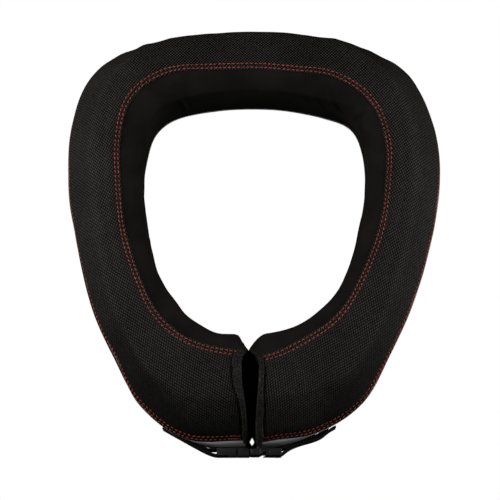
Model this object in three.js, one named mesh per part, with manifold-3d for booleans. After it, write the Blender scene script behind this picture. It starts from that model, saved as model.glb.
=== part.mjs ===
// Protective neck collar: a C-shaped foam ring in a woven cover, lined round the neck, with a flat base panel
// and brushed caps on its two ends, closed at the front by webbing straps and a side-release buckle.
// Millimetres, +Z up, the collar lies on the floor at z = 0 with its closure towards -Y.
import * as THREE from "three";
import { mergeVertices } from "three/addons/utils/BufferGeometryUtils.js";
import Module from "manifold-3d";

const wasm = await Module();
wasm.setup();

// Clearance between neighbouring pieces and thickness of the cloth panels
const GAP = 0.3;
const CLOTH = 2;

// Heights of the ring over the floor at the closure and at the nape
const FRONT_HEIGHT = 48;
const NAPE_HEIGHT = 60;
const FRONT_RIM_HEIGHT = 27;
const NAPE_RIM_HEIGHT = 20;

// Shape of a section: neck wall, rounded brow, flat top, crest, outer slope, lower wall
const WALL_BULGE = 1.2;
const BROW_DROP = 13;
const TOP_DOME = 2;
const CREST_ROUND = 8;
const SLOPE_BULGE = 2.5;
const SLOPE_FULLNESS = { flatUntil: 12, roundFrom: 40, share: 0.6, short: 5 };
const FOOT_ROUND = 4;

// Neck axis in the part's frame, and how far the soft ring lies out of true
const AXIS = { x: -2.8, y: 8 };
const BOW = { shift: 3, middle: 40, reach: 130 };
const SWAY = { shift: 2, span: 100, near: -60, far: -140 };
const CORNER = { x: -105, y: 105, reach: 60, shift: 1.6 };

// Half of the ring from the closure (0 degrees) to the nape (180 degrees); the other half mirrors it.
// Each row is a section: distances from the neck axis to the neck wall, the inner seam, the crest,
// the outer seam (rim) and the foot of the lower wall.
const SECTION_STEP = 15;
const SECTIONS = [
  { neck: 84, seam: 102, crest: 133, rim: 161.5, foot: 166 },
  { neck: 84, seam: 101, crest: 132, rim: 166, foot: 165 },
  { neck: 84.5, seam: 100.5, crest: 127, rim: 158.8, foot: 151.5 },
  { neck: 81.5, seam: 99, crest: 119, rim: 144, foot: 139 },
  { neck: 80, seam: 96, crest: 114, rim: 137.2, foot: 133 },
  { neck: 80.2, seam: 95.8, crest: 112, rim: 135.2, foot: 131 },
  { neck: 83.2, seam: 99, crest: 114, rim: 139.4, foot: 135 },
  { neck: 89.6, seam: 106.8, crest: 122, rim: 150, foot: 146 },
  { neck: 101.2, seam: 119.8, crest: 135, rim: 164.5, foot: 160.5 },
  { neck: 113.5, seam: 131.5, crest: 151, rim: 176.3, foot: 172 },
  { neck: 112, seam: 132, crest: 157, rim: 171, foot: 167 },
  { neck: 107, seam: 124, crest: 151, rim: 162, foot: 158 },
  { neck: 105, seam: 122, crest: 148, rim: 158, foot: 154 },
];

// Half-width of the closure's gap over the inner seam; it narrows away from the neck and towards the floor
const CLOSURE = { half: 6.4, narrowOutward: 0.06, narrowDown: 0.04 };

// End caps
const CAP_WALL = 2;
const CAP_PROUD = 1.7;
const CAP_CLEAR = 0.5;
const CAP_LIP = 4.5;

// Webbing and buckle, placed from the neck axis
const WEBBING = { width: 20, thickness: 1.5, bottom: 2 };
const BUCKLE = { y: -169.8, thickness: 5.2, height: 23.4, middle: 12, socketEnd: -25, plugEnd: 23.4 };
const BAR = { thickness: 2.2, length: 3.2, inset: 1 };
const SLOT = { length: 4, height: 20.6 };

// Spans of the loft from one end of the ring round to the other
const SPANS_PER_HALF = 28;

const lerp = THREE.MathUtils.lerp;
const smooth = THREE.MathUtils.smoothstep;
const columns = ["neck", "seam", "crest", "rim", "foot"];

// Smooth curve through the sections, level at the closure and at the nape
const sectionCurve = new THREE.CubicInterpolant(
  SECTIONS.map((row, index) => index * SECTION_STEP),
  SECTIONS.flatMap((row) => columns.map((name) => row[name])),
  columns.length,
);
sectionCurve.settings = { endingStart: THREE.ZeroSlopeEnding, endingEnd: THREE.ZeroSlopeEnding };

const v2 = (x, y) => new THREE.Vector2(x, y);

function curve(points, divisions) {
  const [a, b, c, d] = points;
  const shape = d ? new THREE.CubicBezierCurve(a, b, c, d) : new THREE.QuadraticBezierCurve(a, b, c);
  return shape.getPoints(divisions);
}

// Outline of a section as (distance from the axis, height): the neck wall upwards, the cover outwards,
// then the base down the lower wall and back in along the floor.
function sectionAt(angle) {
  const [neck, seam, crest, rim, foot] = sectionCurve.evaluate(angle);
  const front = (1 + Math.cos(THREE.MathUtils.degToRad(angle))) / 2;
  const top = lerp(NAPE_HEIGHT, FRONT_HEIGHT, front);
  const rimHeight = lerp(NAPE_RIM_HEIGHT, FRONT_RIM_HEIGHT, front);

  const wallFoot = CLOTH + GAP;
  const wallTop = top - BROW_DROP;
  const third = (wallTop - wallFoot) / 3;
  const wall = curve(
    [
      v2(neck, wallFoot),
      v2(neck - WALL_BULGE, wallFoot + third),
      v2(neck - WALL_BULGE, wallTop - third),
      v2(neck, wallTop),
    ],
    4,
  );
  const brow = curve(
    [v2(neck, wallTop), v2(neck, top - BROW_DROP / 2), v2(neck + 3, top - 4), v2(seam, top)],
    5,
  );

  const seamPoint = v2(seam, top);
  const crestPoint = v2(crest, top);
  const rimPoint = v2(rim, rimHeight);
  const flatSlope = crestPoint.clone().lerp(rimPoint, 0.5).add(v2(SLOPE_BULGE, SLOPE_BULGE));
  const roundSlope = v2(rim - SLOPE_FULLNESS.short, lerp(rimHeight, top, SLOPE_FULLNESS.share));
  const fullness = smooth(angle, SLOPE_FULLNESS.flatUntil, SLOPE_FULLNESS.roundFrom);
  const slopeMiddle = flatSlope.lerp(roundSlope, fullness);
  const crestIn = crestPoint.clone().lerp(seamPoint, CREST_ROUND / crestPoint.distanceTo(seamPoint));
  const crestOut = crestPoint.clone().lerp(slopeMiddle, CREST_ROUND / crestPoint.distanceTo(slopeMiddle));
  const topMiddle = v2((seam + crestIn.x) / 2, top + TOP_DOME);
  const cover = [
    ...curve([seamPoint, topMiddle, crestIn], 3),
    ...curve([crestIn, crestPoint, crestOut], 4).slice(1),
    ...curve([crestOut, slopeMiddle, rimPoint], 4).slice(1),
  ];

  const lowerMiddle = v2(foot, rimHeight * 0.65);
  const base = [
    ...curve([rimPoint, lowerMiddle, v2(foot, FOOT_ROUND)], 3),
    v2(foot - FOOT_ROUND, 0),
    v2(neck + CLOTH + GAP, 0),
    v2(neck, 0),
  ];
  return { wall: [...wall, ...brow.slice(1)], cover, base };
}

// Moves a line of points to its inner side (the right of its run), or outwards for a negative distance
function inset(points, distance) {
  return points.map((point, index) => {
    const before = points[Math.max(index - 1, 0)];
    const after = points[Math.min(index + 1, points.length - 1)];
    const run = after.clone().sub(before).normalize();
    return v2(point.x + run.y * distance, point.y - run.x * distance);
  });
}

function closureHalf(distance, height) {
  const outward = distance - SECTIONS[0].seam;
  const down = FRONT_HEIGHT - height;
  return CLOSURE.half - CLOSURE.narrowOutward * outward - CLOSURE.narrowDown * down;
}

// The ring as it lies: slightly bowed to one side, with its front and rear corners on the left the fuller ones
function settle(x, y, z) {
  const across = (y - BOW.middle) / BOW.reach;
  const bow = Math.abs(across) < 1 ? BOW.shift * (1 - across * across) ** 2 : 0;
  const along = THREE.MathUtils.clamp(x / SWAY.span, -1, 1);
  const sideways = Math.sign(x) * Math.sin(Math.PI * along) ** 2;
  const sway = SWAY.shift * sideways * (1 - smooth(y, SWAY.far, SWAY.near));
  const away = Math.hypot(x - CORNER.x, y - CORNER.y) / CORNER.reach;
  const full = away < 1 ? CORNER.shift * (1 - away * away) ** 2 : 0;
  return new THREE.Vector3(AXIS.x + x + bow - full, AXIS.y + y + sway + full, z);
}

// A section point on one half; share runs from 0 at the closure to 1 at the nape
function place(side, share, point, setback) {
  const half = closureHalf(point.x, point.y) + setback;
  const start = Math.asin(half / point.x);
  const angle = start + share * (Math.PI - start);
  return settle(side * point.x * Math.sin(angle), -point.x * Math.cos(angle), point.y);
}

function solid(positions, triangles) {
  const geometry = new THREE.BufferGeometry();
  const numbers = positions.flatMap((point) => point.toArray());
  geometry.setAttribute("position", new THREE.Float32BufferAttribute(numbers, 3));
  geometry.setIndex(triangles.flat());
  return geometry;
}

function volumeOf(positions, triangles) {
  return triangles.reduce((sum, [a, b, c]) => {
    const cross = positions[b].clone().cross(positions[c]);
    return sum + positions[a].dot(cross) / 6;
  }, 0);
}

// Closed solid through a row of like sections, with a flat cap on the first and the last;
// each four-sided facet is split along its shorter diagonal
function loft(sections, outline) {
  const positions = sections.flat();
  const count = outline.length;
  const last = (sections.length - 1) * count;
  const triangles = [];
  for (let row = 0; row < sections.length - 1; row += 1) {
    for (let index = 0; index < count; index += 1) {
      const next = (index + 1) % count;
      const a = row * count + index;
      const b = row * count + next;
      const c = b + count;
      const d = a + count;
      const splitAtA = positions[a].distanceTo(positions[c]) < positions[b].distanceTo(positions[d]);
      triangles.push(...(splitAtA ? [[a, b, c], [a, c, d]] : [[a, b, d], [b, c, d]]));
    }
  }
  for (const [a, b, c] of THREE.ShapeUtils.triangulateShape(outline, [])) {
    const clockwise = THREE.ShapeUtils.isClockWise([outline[a], outline[b], outline[c]]);
    const same = clockwise === THREE.ShapeUtils.isClockWise(outline);
    const [p, q] = same ? [b, c] : [c, b];
    triangles.push([a, q, p], [last + a, last + p, last + q]);
  }
  const outward = volumeOf(positions, triangles) > 0;
  return solid(positions, outward ? triangles : triangles.map(([a, b, c]) => [a, c, b]));
}

// Solid swept right round the ring, whose outline is drawn from the section at each place
function ringSolid(draw) {
  const stops = [];
  for (let step = -SPANS_PER_HALF; step <= SPANS_PER_HALF; step += 1) {
    stops.push({ side: step <= 0 ? 1 : -1, share: 1 - Math.abs(step) / SPANS_PER_HALF });
  }
  const sections = stops.map(({ side, share }) =>
    draw(sectionAt(share * 180)).map((point) => place(side, share, point, CAP_WALL + GAP)),
  );
  return loft(sections, draw(sectionAt(0)));
}

function trimEnd(points, distance) {
  const trimmed = points.slice();
  const last = trimmed.length - 1;
  const back = trimmed[last].clone().sub(trimmed[last - 1]);
  trimmed[last] = trimmed[last].clone().addScaledVector(back.normalize(), -distance);
  return trimmed;
}

const paddedRing = ringSolid(({ wall, cover, base }) => [
  ...inset(wall, CLOTH + GAP),
  ...cover,
  ...inset(base, CLOTH + GAP).slice(0, -2),
]);

const neckLining = ringSolid(({ wall }) => {
  const outside = trimEnd(wall, GAP);
  return [...outside, ...inset(outside, CLOTH).reverse()];
});

const basePanel = ringSolid(({ base }) => {
  const outside = trimEnd(base.toReversed(), GAP).reverse();
  return [...outside, ...inset(outside, CLOTH).reverse()];
});

// Joining and cutting of plain solids
const { Manifold, Mesh } = wasm;

function toManifold(geometry) {
  const bare = new THREE.BufferGeometry();
  bare.setAttribute("position", geometry.getAttribute("position"));
  if (geometry.index) bare.setIndex(geometry.index);
  const merged = mergeVertices(bare, 1e-3);
  const mesh = new Mesh({
    numProp: 3,
    vertProperties: new Float32Array(merged.getAttribute("position").array),
    triVerts: new Uint32Array(merged.index.array),
  });
  mesh.merge();
  return new Manifold(mesh);
}

function toGeometry(manifold) {
  const mesh = manifold.getMesh();
  const geometry = new THREE.BufferGeometry();
  geometry.setAttribute("position", new THREE.BufferAttribute(new Float32Array(mesh.vertProperties), 3));
  geometry.setIndex(new THREE.BufferAttribute(new Uint32Array(mesh.triVerts), 1));
  return geometry;
}

const joined = (...solids) => toGeometry(solids.map(toManifold).reduce((all, next) => all.add(next)));
const cut = (body, ...tools) =>
  toGeometry(tools.map(toManifold).reduce((all, next) => all.subtract(next), toManifold(body)));

// Brushed cap: a plate over the whole end of the ring and a lip that folds back over its upper side
function endCap(side) {
  const { wall, cover, base } = sectionAt(0);
  const upper = [...wall.slice(2), ...cover.slice(1)];
  const proud = inset(upper, -CAP_PROUD);
  const clear = inset(upper, -CAP_CLEAR);
  const depth = (points, setback) => points.map((point) => place(side, 0, point, setback));

  const lowerLeft = wall.slice(0, 2);
  const lowerRight = [...base.slice(1, -2), base.at(-1)];
  const face = [...lowerLeft, ...clear, ...lowerRight];
  const plateOutline = [...lowerLeft, ...proud, ...lowerRight];
  const plate = loft(
    [depth(face, 0), depth(plateOutline, CAP_WALL * 0.6), depth(plateOutline, CAP_WALL)],
    plateOutline,
  );

  const lipOutline = [...proud, ...clear.toReversed()];
  const lip = loft(
    [depth(lipOutline, CAP_WALL * 0.8), depth(lipOutline, CAP_WALL + GAP + CAP_LIP)],
    lipOutline,
  );
  return joined(plate, lip);
}

// Webbing on edge: a line in plan given its thickness, standing as high as the webbing is wide
function ribbon(line) {
  const half = WEBBING.thickness / 2;
  const outline = new THREE.Shape([...inset(line, half), ...inset(line, -half).reverse()]);
  const geometry = new THREE.ExtrudeGeometry(outline, { depth: WEBBING.width, bevelEnabled: false });
  return geometry.translate(AXIS.x, AXIS.y, WEBBING.bottom);
}

// The strap runs from its sewn tab along the front, round the bar of its buckle half and back on itself.
// The points of its run and its tail are distances out from the middle of the closure and places along Y.
function strap({ side, end, run, tail }) {
  const barX = end - side * (BAR.inset + BAR.length / 2);
  const turn = BAR.thickness / 2 + GAP + WEBBING.thickness / 2;
  const turnX = barX - side * (BAR.length / 2 - BAR.thickness / 4);
  const line = run.map(([x, y]) => v2(side * x, y));
  for (let step = 0; step <= 8; step += 1) {
    const angle = -Math.PI / 2 + (step / 8) * Math.PI;
    line.push(v2(turnX - side * turn * Math.cos(angle), BUCKLE.y + turn * Math.sin(angle)));
  }
  line.push(...tail.map(([x, y]) => v2(side * x, y)));
  return ribbon(line);
}

const strapLeft = strap({
  side: -1,
  end: BUCKLE.socketEnd,
  run: [[65.6, -151.7], [45, -163.2], [29, -171.65]],
  tail: [[28, -167.65], [37.5, -165.1], [41, -163.4]],
});
const strapRight = strap({
  side: 1,
  end: BUCKLE.plugEnd,
  run: [[64.2, -152], [59.4, -154.2], [52.2, -159.4], [37.3, -163.2], [29.5, -166.3], [22.8, -171.8]],
  tail: [[26, -166.7], [30.2, -163.9], [37.3, -161.1], [48, -158.2]],
});

// Flat shape drawn in the buckle's face (along it, up), given a thickness through the buckle
function slab(points, thickness) {
  const shape = new THREE.Shape(points.map(([x, z]) => v2(x, z)));
  const geometry = new THREE.ExtrudeGeometry(shape, { depth: thickness, bevelEnabled: false });
  geometry.translate(0, 0, -thickness / 2);
  geometry.rotateX(Math.PI / 2);
  return geometry.translate(AXIS.x, AXIS.y + BUCKLE.y, BUCKLE.middle);
}

const rect = (x0, x1, z0, z1) => [[x0, z0], [x1, z0], [x1, z1], [x0, z1]];

function clipped(x0, x1, z0, z1, corner) {
  return [
    [x0 + corner, z0], [x1 - corner, z0], [x1, z0 + corner], [x1, z1 - corner],
    [x1 - corner, z1], [x0 + corner, z1], [x0, z1 - corner], [x0, z0 + corner],
  ];
}

const halfHeight = BUCKLE.height / 2;
const slotHalf = SLOT.height / 2;
const mirrored = (points) => points.map(([x, z]) => [x, -z]).reverse();

// Socket: strap end with its bar, a groove, and a pocket open towards the plug between two tongues
const SOCKET_MOUTH = -0.9;
const SOCKET_GROOVE = { at: -9.9, width: 1.2, depth: 1.2 };
const POCKET = { end: -12, half: 9, thickness: 2.8 };
const TONGUE = { reach: 6, half: 6 };

function socket() {
  const end = BUCKLE.socketEnd;
  const barEnd = end + BAR.inset + BAR.length;
  const body = slab(clipped(end, SOCKET_MOUTH, -halfHeight, halfHeight, 1.5), BUCKLE.thickness);
  const tongueShape = clipped(SOCKET_MOUTH - 4, TONGUE.reach, -TONGUE.half, TONGUE.half, 2);
  const tongue = slab(tongueShape, BUCKLE.thickness);
  const bar = slab(rect(end + BAR.inset, barEnd, -slotHalf - 0.5, slotHalf + 0.5), BAR.thickness);
  const window = slab(rect(end - 1, barEnd + SLOT.length, -slotHalf, slotHalf), BUCKLE.thickness + 2);
  const pocket = slab(rect(POCKET.end, TONGUE.reach + 1, -POCKET.half, POCKET.half), POCKET.thickness);
  const groove = SOCKET_GROOVE;
  const grooveTop = rect(
    groove.at - groove.width / 2, groove.at + groove.width / 2, halfHeight - groove.depth, halfHeight + 1,
  );
  const shell = cut(
    joined(body, tongue),
    window,
    pocket,
    slab(grooveTop, BUCKLE.thickness + 2),
    slab(mirrored(grooveTop), BUCKLE.thickness + 2),
  );
  return joined(shell, bar);
}

// Plug: strap end with its bar, a guide down the middle and two sprung arms with thumb pads
const PLUG_BASE = 14;
const GUIDE = { tip: -10.5, half: 2.2 };
const PLUG_THICKNESS = POCKET.thickness - 2 * GAP;
const PAD = { from: 0.1, to: 7.3, inside: 9.3 };

function plug() {
  const end = BUCKLE.plugEnd;
  const barEnd = end - BAR.inset - BAR.length;
  const arm = [
    [PLUG_BASE + 1, 6.4], [11, 6.4], [7, 8.2], [-2, 6], [-7, 5.6], [-7, 7.6], [-3, 8.6],
    [PAD.from, 8.6], [PAD.from, PAD.inside], [PAD.to, PAD.inside + 0.6], [11.5, 8.8], [PLUG_BASE + 1, 8.8],
  ];
  const pad = [
    [PAD.from, 8.6], [PAD.to, 8.4], [PAD.to + 2, 9.4],
    [PAD.to, 11.4], [PAD.from + 2, halfHeight], [PAD.from, 11.2],
  ];
  const base = slab(clipped(PLUG_BASE, end, -halfHeight, halfHeight, 1.5), BUCKLE.thickness);
  const window = slab(rect(barEnd - SLOT.length + 0.4, end + 1, -slotHalf, slotHalf), BUCKLE.thickness + 2);
  const bar = slab(rect(barEnd, end - BAR.inset, -slotHalf - 0.5, slotHalf + 0.5), BAR.thickness);
  const guide = slab(rect(GUIDE.tip, PLUG_BASE + 1, -GUIDE.half, GUIDE.half), PLUG_THICKNESS);
  return joined(
    cut(base, window),
    bar,
    guide,
    slab(arm, PLUG_THICKNESS),
    slab(mirrored(arm), PLUG_THICKNESS),
    slab(pad, BUCKLE.thickness - 0.6),
    slab(mirrored(pad), BUCKLE.thickness - 0.6),
  );
}

// Colours and surfaces
const woven = { color: 0x17181b, roughness: 0.85, metalness: 0 };
const smoothCloth = { color: 0x0f1012, roughness: 0.75, metalness: 0 };
const greyCloth = { color: 0x6c6e70, roughness: 0.9, metalness: 0 };
const brushed = { color: 0x2a2b2e, roughness: 0.95, metalness: 0 };
const webbing = { color: 0x141518, roughness: 0.8, metalness: 0 };
const plastic = { color: 0x121315, roughness: 0.45, metalness: 0 };

const collar = new THREE.Group();
collar.name = "protective_neck_collar";

function addPiece(name, geometry, surface) {
  const piece = new THREE.Mesh(geometry, new THREE.MeshStandardMaterial(surface));
  piece.name = name;
  collar.add(piece);
}

addPiece("padded_ring", paddedRing, woven);
addPiece("neck_lining", neckLining, smoothCloth);
addPiece("base_panel", basePanel, greyCloth);
addPiece("end_cap_left", endCap(-1), brushed);
addPiece("end_cap_right", endCap(1), brushed);
addPiece("strap_left", strapLeft, webbing);
addPiece("strap_right", strapRight, webbing);
addPiece("buckle_socket", socket(), plastic);
addPiece("buckle_plug", plug(), plastic);

export default collar;
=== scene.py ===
import math
from typing import NamedTuple

import bpy
import numpy as np
from bpy.props import FloatProperty, FloatVectorProperty, IntProperty, PointerProperty
from bpy.types import Operator, Panel, PropertyGroup
from mathutils import Matrix, Vector


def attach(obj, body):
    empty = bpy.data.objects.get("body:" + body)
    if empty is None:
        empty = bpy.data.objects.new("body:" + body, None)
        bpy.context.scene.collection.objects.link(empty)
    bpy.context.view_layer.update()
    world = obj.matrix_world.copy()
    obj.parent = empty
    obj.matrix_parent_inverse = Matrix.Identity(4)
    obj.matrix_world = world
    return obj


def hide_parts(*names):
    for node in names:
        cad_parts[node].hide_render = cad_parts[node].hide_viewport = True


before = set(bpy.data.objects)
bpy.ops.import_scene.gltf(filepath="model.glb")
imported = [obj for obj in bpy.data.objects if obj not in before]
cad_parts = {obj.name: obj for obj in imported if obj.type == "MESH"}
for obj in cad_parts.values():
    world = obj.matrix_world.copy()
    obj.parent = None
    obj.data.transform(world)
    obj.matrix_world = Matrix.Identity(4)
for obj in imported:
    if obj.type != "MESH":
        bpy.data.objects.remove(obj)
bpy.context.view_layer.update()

bl_info = {
    "name": "Protective neck collar",
    "version": (1, 0, 0),
    "blender": (4, 5, 0),
    "location": "3D View > Sidebar > Collar",
    "description": "Builds a padded neck collar with its lining, caps, straps, buckle and stitching",
    "category": "Object",
}

MM = 0.001
BODY = "root"


# The ring's form, close to the solids': all distances are measured from the neck axis
class Section(NamedTuple):
    """Distances in millimetres from the neck axis to the parts of one section."""

    neck: float
    seam: float
    crest: float
    rim: float
    foot: float


# From the closure (0 degrees) to the nape (180 degrees); the other half mirrors it
SECTION_STEP = 15
SECTIONS = (
    Section(84, 102, 132, 161.5, 166),
    Section(84, 101, 136.5, 166, 165),
    Section(84.5, 100.5, 135, 158.8, 151.5),
    Section(81.5, 99, 124, 144, 139),
    Section(80, 96, 116, 137.2, 133),
    Section(80.2, 95.8, 112, 135.2, 131),
    Section(83.2, 99, 114, 139.4, 135),
    Section(89.6, 106.8, 122, 150, 146),
    Section(101.2, 119.8, 135, 164.5, 160.5),
    Section(113.5, 131.5, 151, 176.3, 172),
    Section(112, 132, 157, 171, 167),
    Section(107, 124, 151, 162, 158),
    Section(105, 122, 148, 158, 154),
)
END_NECK = SECTIONS[0].neck * MM
END_SEAM = SECTIONS[0].seam * MM

# How the ring lies: its axis, a bow to one side, a sway of its front, a full corner and the drooping ends
AXIS_X = -2.8 * MM
AXIS_Y = 8 * MM
BOW_SHIFT = 3 * MM
BOW_MIDDLE = 40 * MM
BOW_REACH = 130 * MM
SWAY_SHIFT = 2 * MM
SWAY_SPAN = 100 * MM
SWAY_NEAR = -60 * MM
SWAY_FAR = -140 * MM
CORNER_X = -105 * MM
CORNER_Y = 105 * MM
CORNER_REACH = 60 * MM
CORNER_SHIFT = 1.6 * MM
DROOP_LEFT = 2 * MM
DROOP_RIGHT = 6.8 * MM
DROOP_REACH = 34 * MM
DROOP_FRONT = (115 * MM, 150 * MM)
DROOP_HEIGHT = (23 * MM, 29 * MM)

# How far the inner seam was sewn off its line, in millimetres outwards, from the left end to the right one
SEAM_SLIP_STEP = 30
SEAM_SLIP = (-2.0, 1.2, 0.2, 1.5, 1.2, 1.4, -1.3, -1.6, -0.6, -1.0, -2.1, -1.6, 2.0)


class Slip(NamedTuple):
    """A dent or bulge in the neck's edge: its middle and reach in degrees, and millimetres outwards."""

    turn: float
    reach: float
    shift: float


NECK_SLIPS = (
    Slip(-168, 9, 1.7),
    Slip(-142, 9, -1.9),
    Slip(-76, 6, 0.6),
    Slip(-66, 5, -0.7),
    Slip(-50, 9, -2.6),
    Slip(-33, 6, 0.9),
    Slip(24, 6, -0.5),
    Slip(41, 8, 2.9),
    Slip(56, 6, 0.7),
    Slip(67, 5, -0.6),
    Slip(80, 8, 0.6),
    Slip(130, 7, 1.2),
    Slip(150, 8, -1.2),
    Slip(164, 6, 0.6),
)

WALL_FOOT = 2.3 * MM
WALL_BULGE = 1.2 * MM
BROW_DROP = 13 * MM
BROW_LEAN = 3 * MM
BROW_SHOULDER = 4 * MM
BROW_EDGED = (110, 145)
BROW_LOW = (0.2, 0.62)
BROW_HIGH = (0.6, 0.22)
TOP_DOME = 2 * MM
CREST_ROUND = 4 * MM
CREST_ROUND_FRONT = 1.5 * MM
CREST_FRONT_UNTIL = (40, 80)
SLOPE_BULGE = 1.5 * MM
SLOPE_FLAT_UNTIL = (26, 60)
SLOPE_SHARE = 0.6
RIM_REACH = -5 * MM
FOOT_ROUND = 4 * MM
LOWER_WALL_SHARE = 0.65
CURVE_POINTS = 40
END_CROWDING = 1.2

# The closure: half the gap between the two ends, at the top and deep down, with places given from the seam
GAP_OUTER = 3.0 * MM
GAP_TOP_EXTRA = 3.4 * MM
GAP_TOP_FADE = (10 * MM, 48 * MM)
GAP_TOUCH = 0.4 * MM
GAP_TOUCH_PLACE = -5 * MM
GAP_TOUCH_FADE = 6 * MM
GAP_NOTCH = 8.2 * MM
GAP_DEEP = 0.12 * MM
GAP_DEEP_NECK = 9.0 * MM
GAP_DEEP_NECK_FADE = (-21 * MM, -10 * MM)
GAP_FLARE = 2.8 * MM
GAP_FLARE_START = (54 * MM, 60 * MM)
GAP_FLARE_STOP = (60.5 * MM, 62 * MM)
GAP_HEIGHTS = (8 * MM, 30 * MM)
GAP_WAVE = 0.9 * MM
GAP_WAVE_LENGTH = 13 * MM
GAP_WAVE_FADE = (12 * MM, 26 * MM)
GAP_DRIFT = 1.1 * MM
GAP_DRIFT_START = (16 * MM, 60 * MM)
GAP_DRIFT_NECK = 1.8 * MM
GAP_DRIFT_NECK_PLACE = -8 * MM
GAP_DRIFT_NECK_REACH = 8 * MM
CORNER_ROUND_LEFT = 1.0 * MM
CORNER_ROUND_RIGHT = 3.0 * MM
CORNER_ROUND_REACH = 6 * MM
END_SETBACK = 2.3 * MM


def smooth_step(value, low, high):
    share = np.clip((value - low) / (high - low), 0.0, 1.0)
    return share * share * (3.0 - 2.0 * share)


def blend(a, b, share):
    return a + (b - a) * share


def bell(value, width):
    return np.exp(-np.square(value / width))


def section_sizes(angle):
    """Section distances in metres at each angle in degrees, on a smooth curve through the rows."""
    table = np.array(SECTIONS) * MM
    padded = np.vstack([table[1], table, table[-2]])
    row = np.minimum((angle / SECTION_STEP).astype(int), len(table) - 2)
    t = (angle / SECTION_STEP - row)[:, None]
    a, b, c, d = (padded[row + offset] for offset in range(4))
    return b + 0.5 * t * (c - a + t * (2 * a - 5 * b + 4 * c - d + t * (3 * (b - c) + d - a)))


class Stations(NamedTuple):
    """Places round the ring from the right end over the nape to the left end."""

    side: np.ndarray
    share: np.ndarray

    @property
    def angle(self):
        return self.share * 180.0

    @property
    def turn(self):
        """Signed angle in degrees from the nape, right side positive."""
        return self.side * (180.0 - self.angle)


def ring_stations(per_half):
    step = np.arange(-per_half, per_half + 1)
    share = np.power(1.0 - np.abs(step) / per_half, END_CROWDING)
    return Stations(np.where(step <= 0, 1.0, -1.0), share)


def bezier(controls):
    """Points along Bezier curves, one curve for each row of the control points."""
    t = np.linspace(0.0, 1.0, CURVE_POINTS)[None, :, None]
    layers = [control[:, None, :] for control in controls]
    while len(layers) > 1:
        layers = [blend(a, b, t) for a, b in zip(layers, layers[1:])]
    return layers[0]


def point(distance, height):
    return np.stack(np.broadcast_arrays(distance, height), axis=-1)


def towards(start, end, length):
    run = end - start
    return start + run * (length / np.linalg.norm(run, axis=-1, keepdims=True))


class Curves(NamedTuple):
    """Outline of each section as (distance, height) points, in runs from the floor at the neck outwards."""

    wall: np.ndarray
    brow: np.ndarray
    cover: np.ndarray
    base: np.ndarray


def seam_slip(turn):
    place = (turn + 180.0) / SEAM_SLIP_STEP
    low = np.minimum(place.astype(int), len(SEAM_SLIP) - 2)
    slips = np.array(SEAM_SLIP) * MM
    return blend(slips[low], slips[low + 1], smooth_step(place - low, 0.0, 1.0))


def neck_slip(turn):
    return sum(slip.shift * MM * bell(turn - slip.turn, slip.reach) for slip in NECK_SLIPS)


def section_curves(sizes, stations):
    angle = stations.angle
    neck, seam, crest, rim, foot = section_sizes(angle).T
    neck = neck + neck_slip(stations.turn)
    seam = seam + seam_slip(stations.turn)
    front = (1.0 + np.cos(np.radians(angle))) / 2.0
    top = blend(sizes.nape_height, sizes.front_height, front)
    rim_height = blend(sizes.nape_rim_height, sizes.front_rim_height, front)
    wall_top = top - BROW_DROP
    third = (wall_top - WALL_FOOT) / 3.0
    wall = bezier([
        point(neck, WALL_FOOT),
        point(neck - WALL_BULGE, WALL_FOOT + third),
        point(neck - WALL_BULGE, wall_top - third),
        point(neck, wall_top),
    ])
    edged = smooth_step(angle, *BROW_EDGED)[:, None]
    flat_low = point(blend(neck, seam, BROW_LOW[0]), top - BROW_LOW[1] * BROW_DROP)
    flat_high = point(blend(neck, seam, BROW_HIGH[0]), top - BROW_HIGH[1] * BROW_DROP)
    brow = bezier([
        point(neck, wall_top),
        blend(point(neck, top - BROW_DROP / 2.0), flat_low, edged),
        blend(point(neck + BROW_LEAN, top - BROW_SHOULDER), flat_high, edged),
        point(seam, top),
    ])

    seam_point = point(seam, top)
    crest_point = point(crest, top)
    rim_point = point(rim, rim_height)
    flat_slope = (crest_point + rim_point) / 2.0 + SLOPE_BULGE
    round_slope = point(rim + RIM_REACH, blend(rim_height, top, SLOPE_SHARE))
    fullness = smooth_step(angle, *SLOPE_FLAT_UNTIL)[:, None]
    slope = blend(flat_slope, round_slope, fullness)
    crest_round = blend(CREST_ROUND_FRONT, CREST_ROUND, smooth_step(angle, *CREST_FRONT_UNTIL))[:, None]
    crest_in = towards(crest_point, seam_point, crest_round)
    crest_out = towards(crest_point, slope, crest_round)
    top_middle = point((seam + crest_in[:, 0]) / 2.0, top + TOP_DOME)
    cover = np.concatenate([
        bezier([seam_point, top_middle, crest_in]),
        bezier([crest_in, crest_point, crest_out])[:, 1:],
        bezier([crest_out, slope, rim_point])[:, 1:],
    ], axis=1)

    base = np.concatenate([
        bezier([rim_point, point(foot, rim_height * LOWER_WALL_SHARE), point(foot, FOOT_ROUND)]),
        bezier([point(foot, FOOT_ROUND), point(foot, 0.0), point(foot - FOOT_ROUND, 0.0)])[:, 1:],
        bezier([point(foot - FOOT_ROUND, 0.0), point(neck, 0.0)])[:, 1:],
    ], axis=1)
    return Curves(wall, brow, cover, base)


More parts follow.
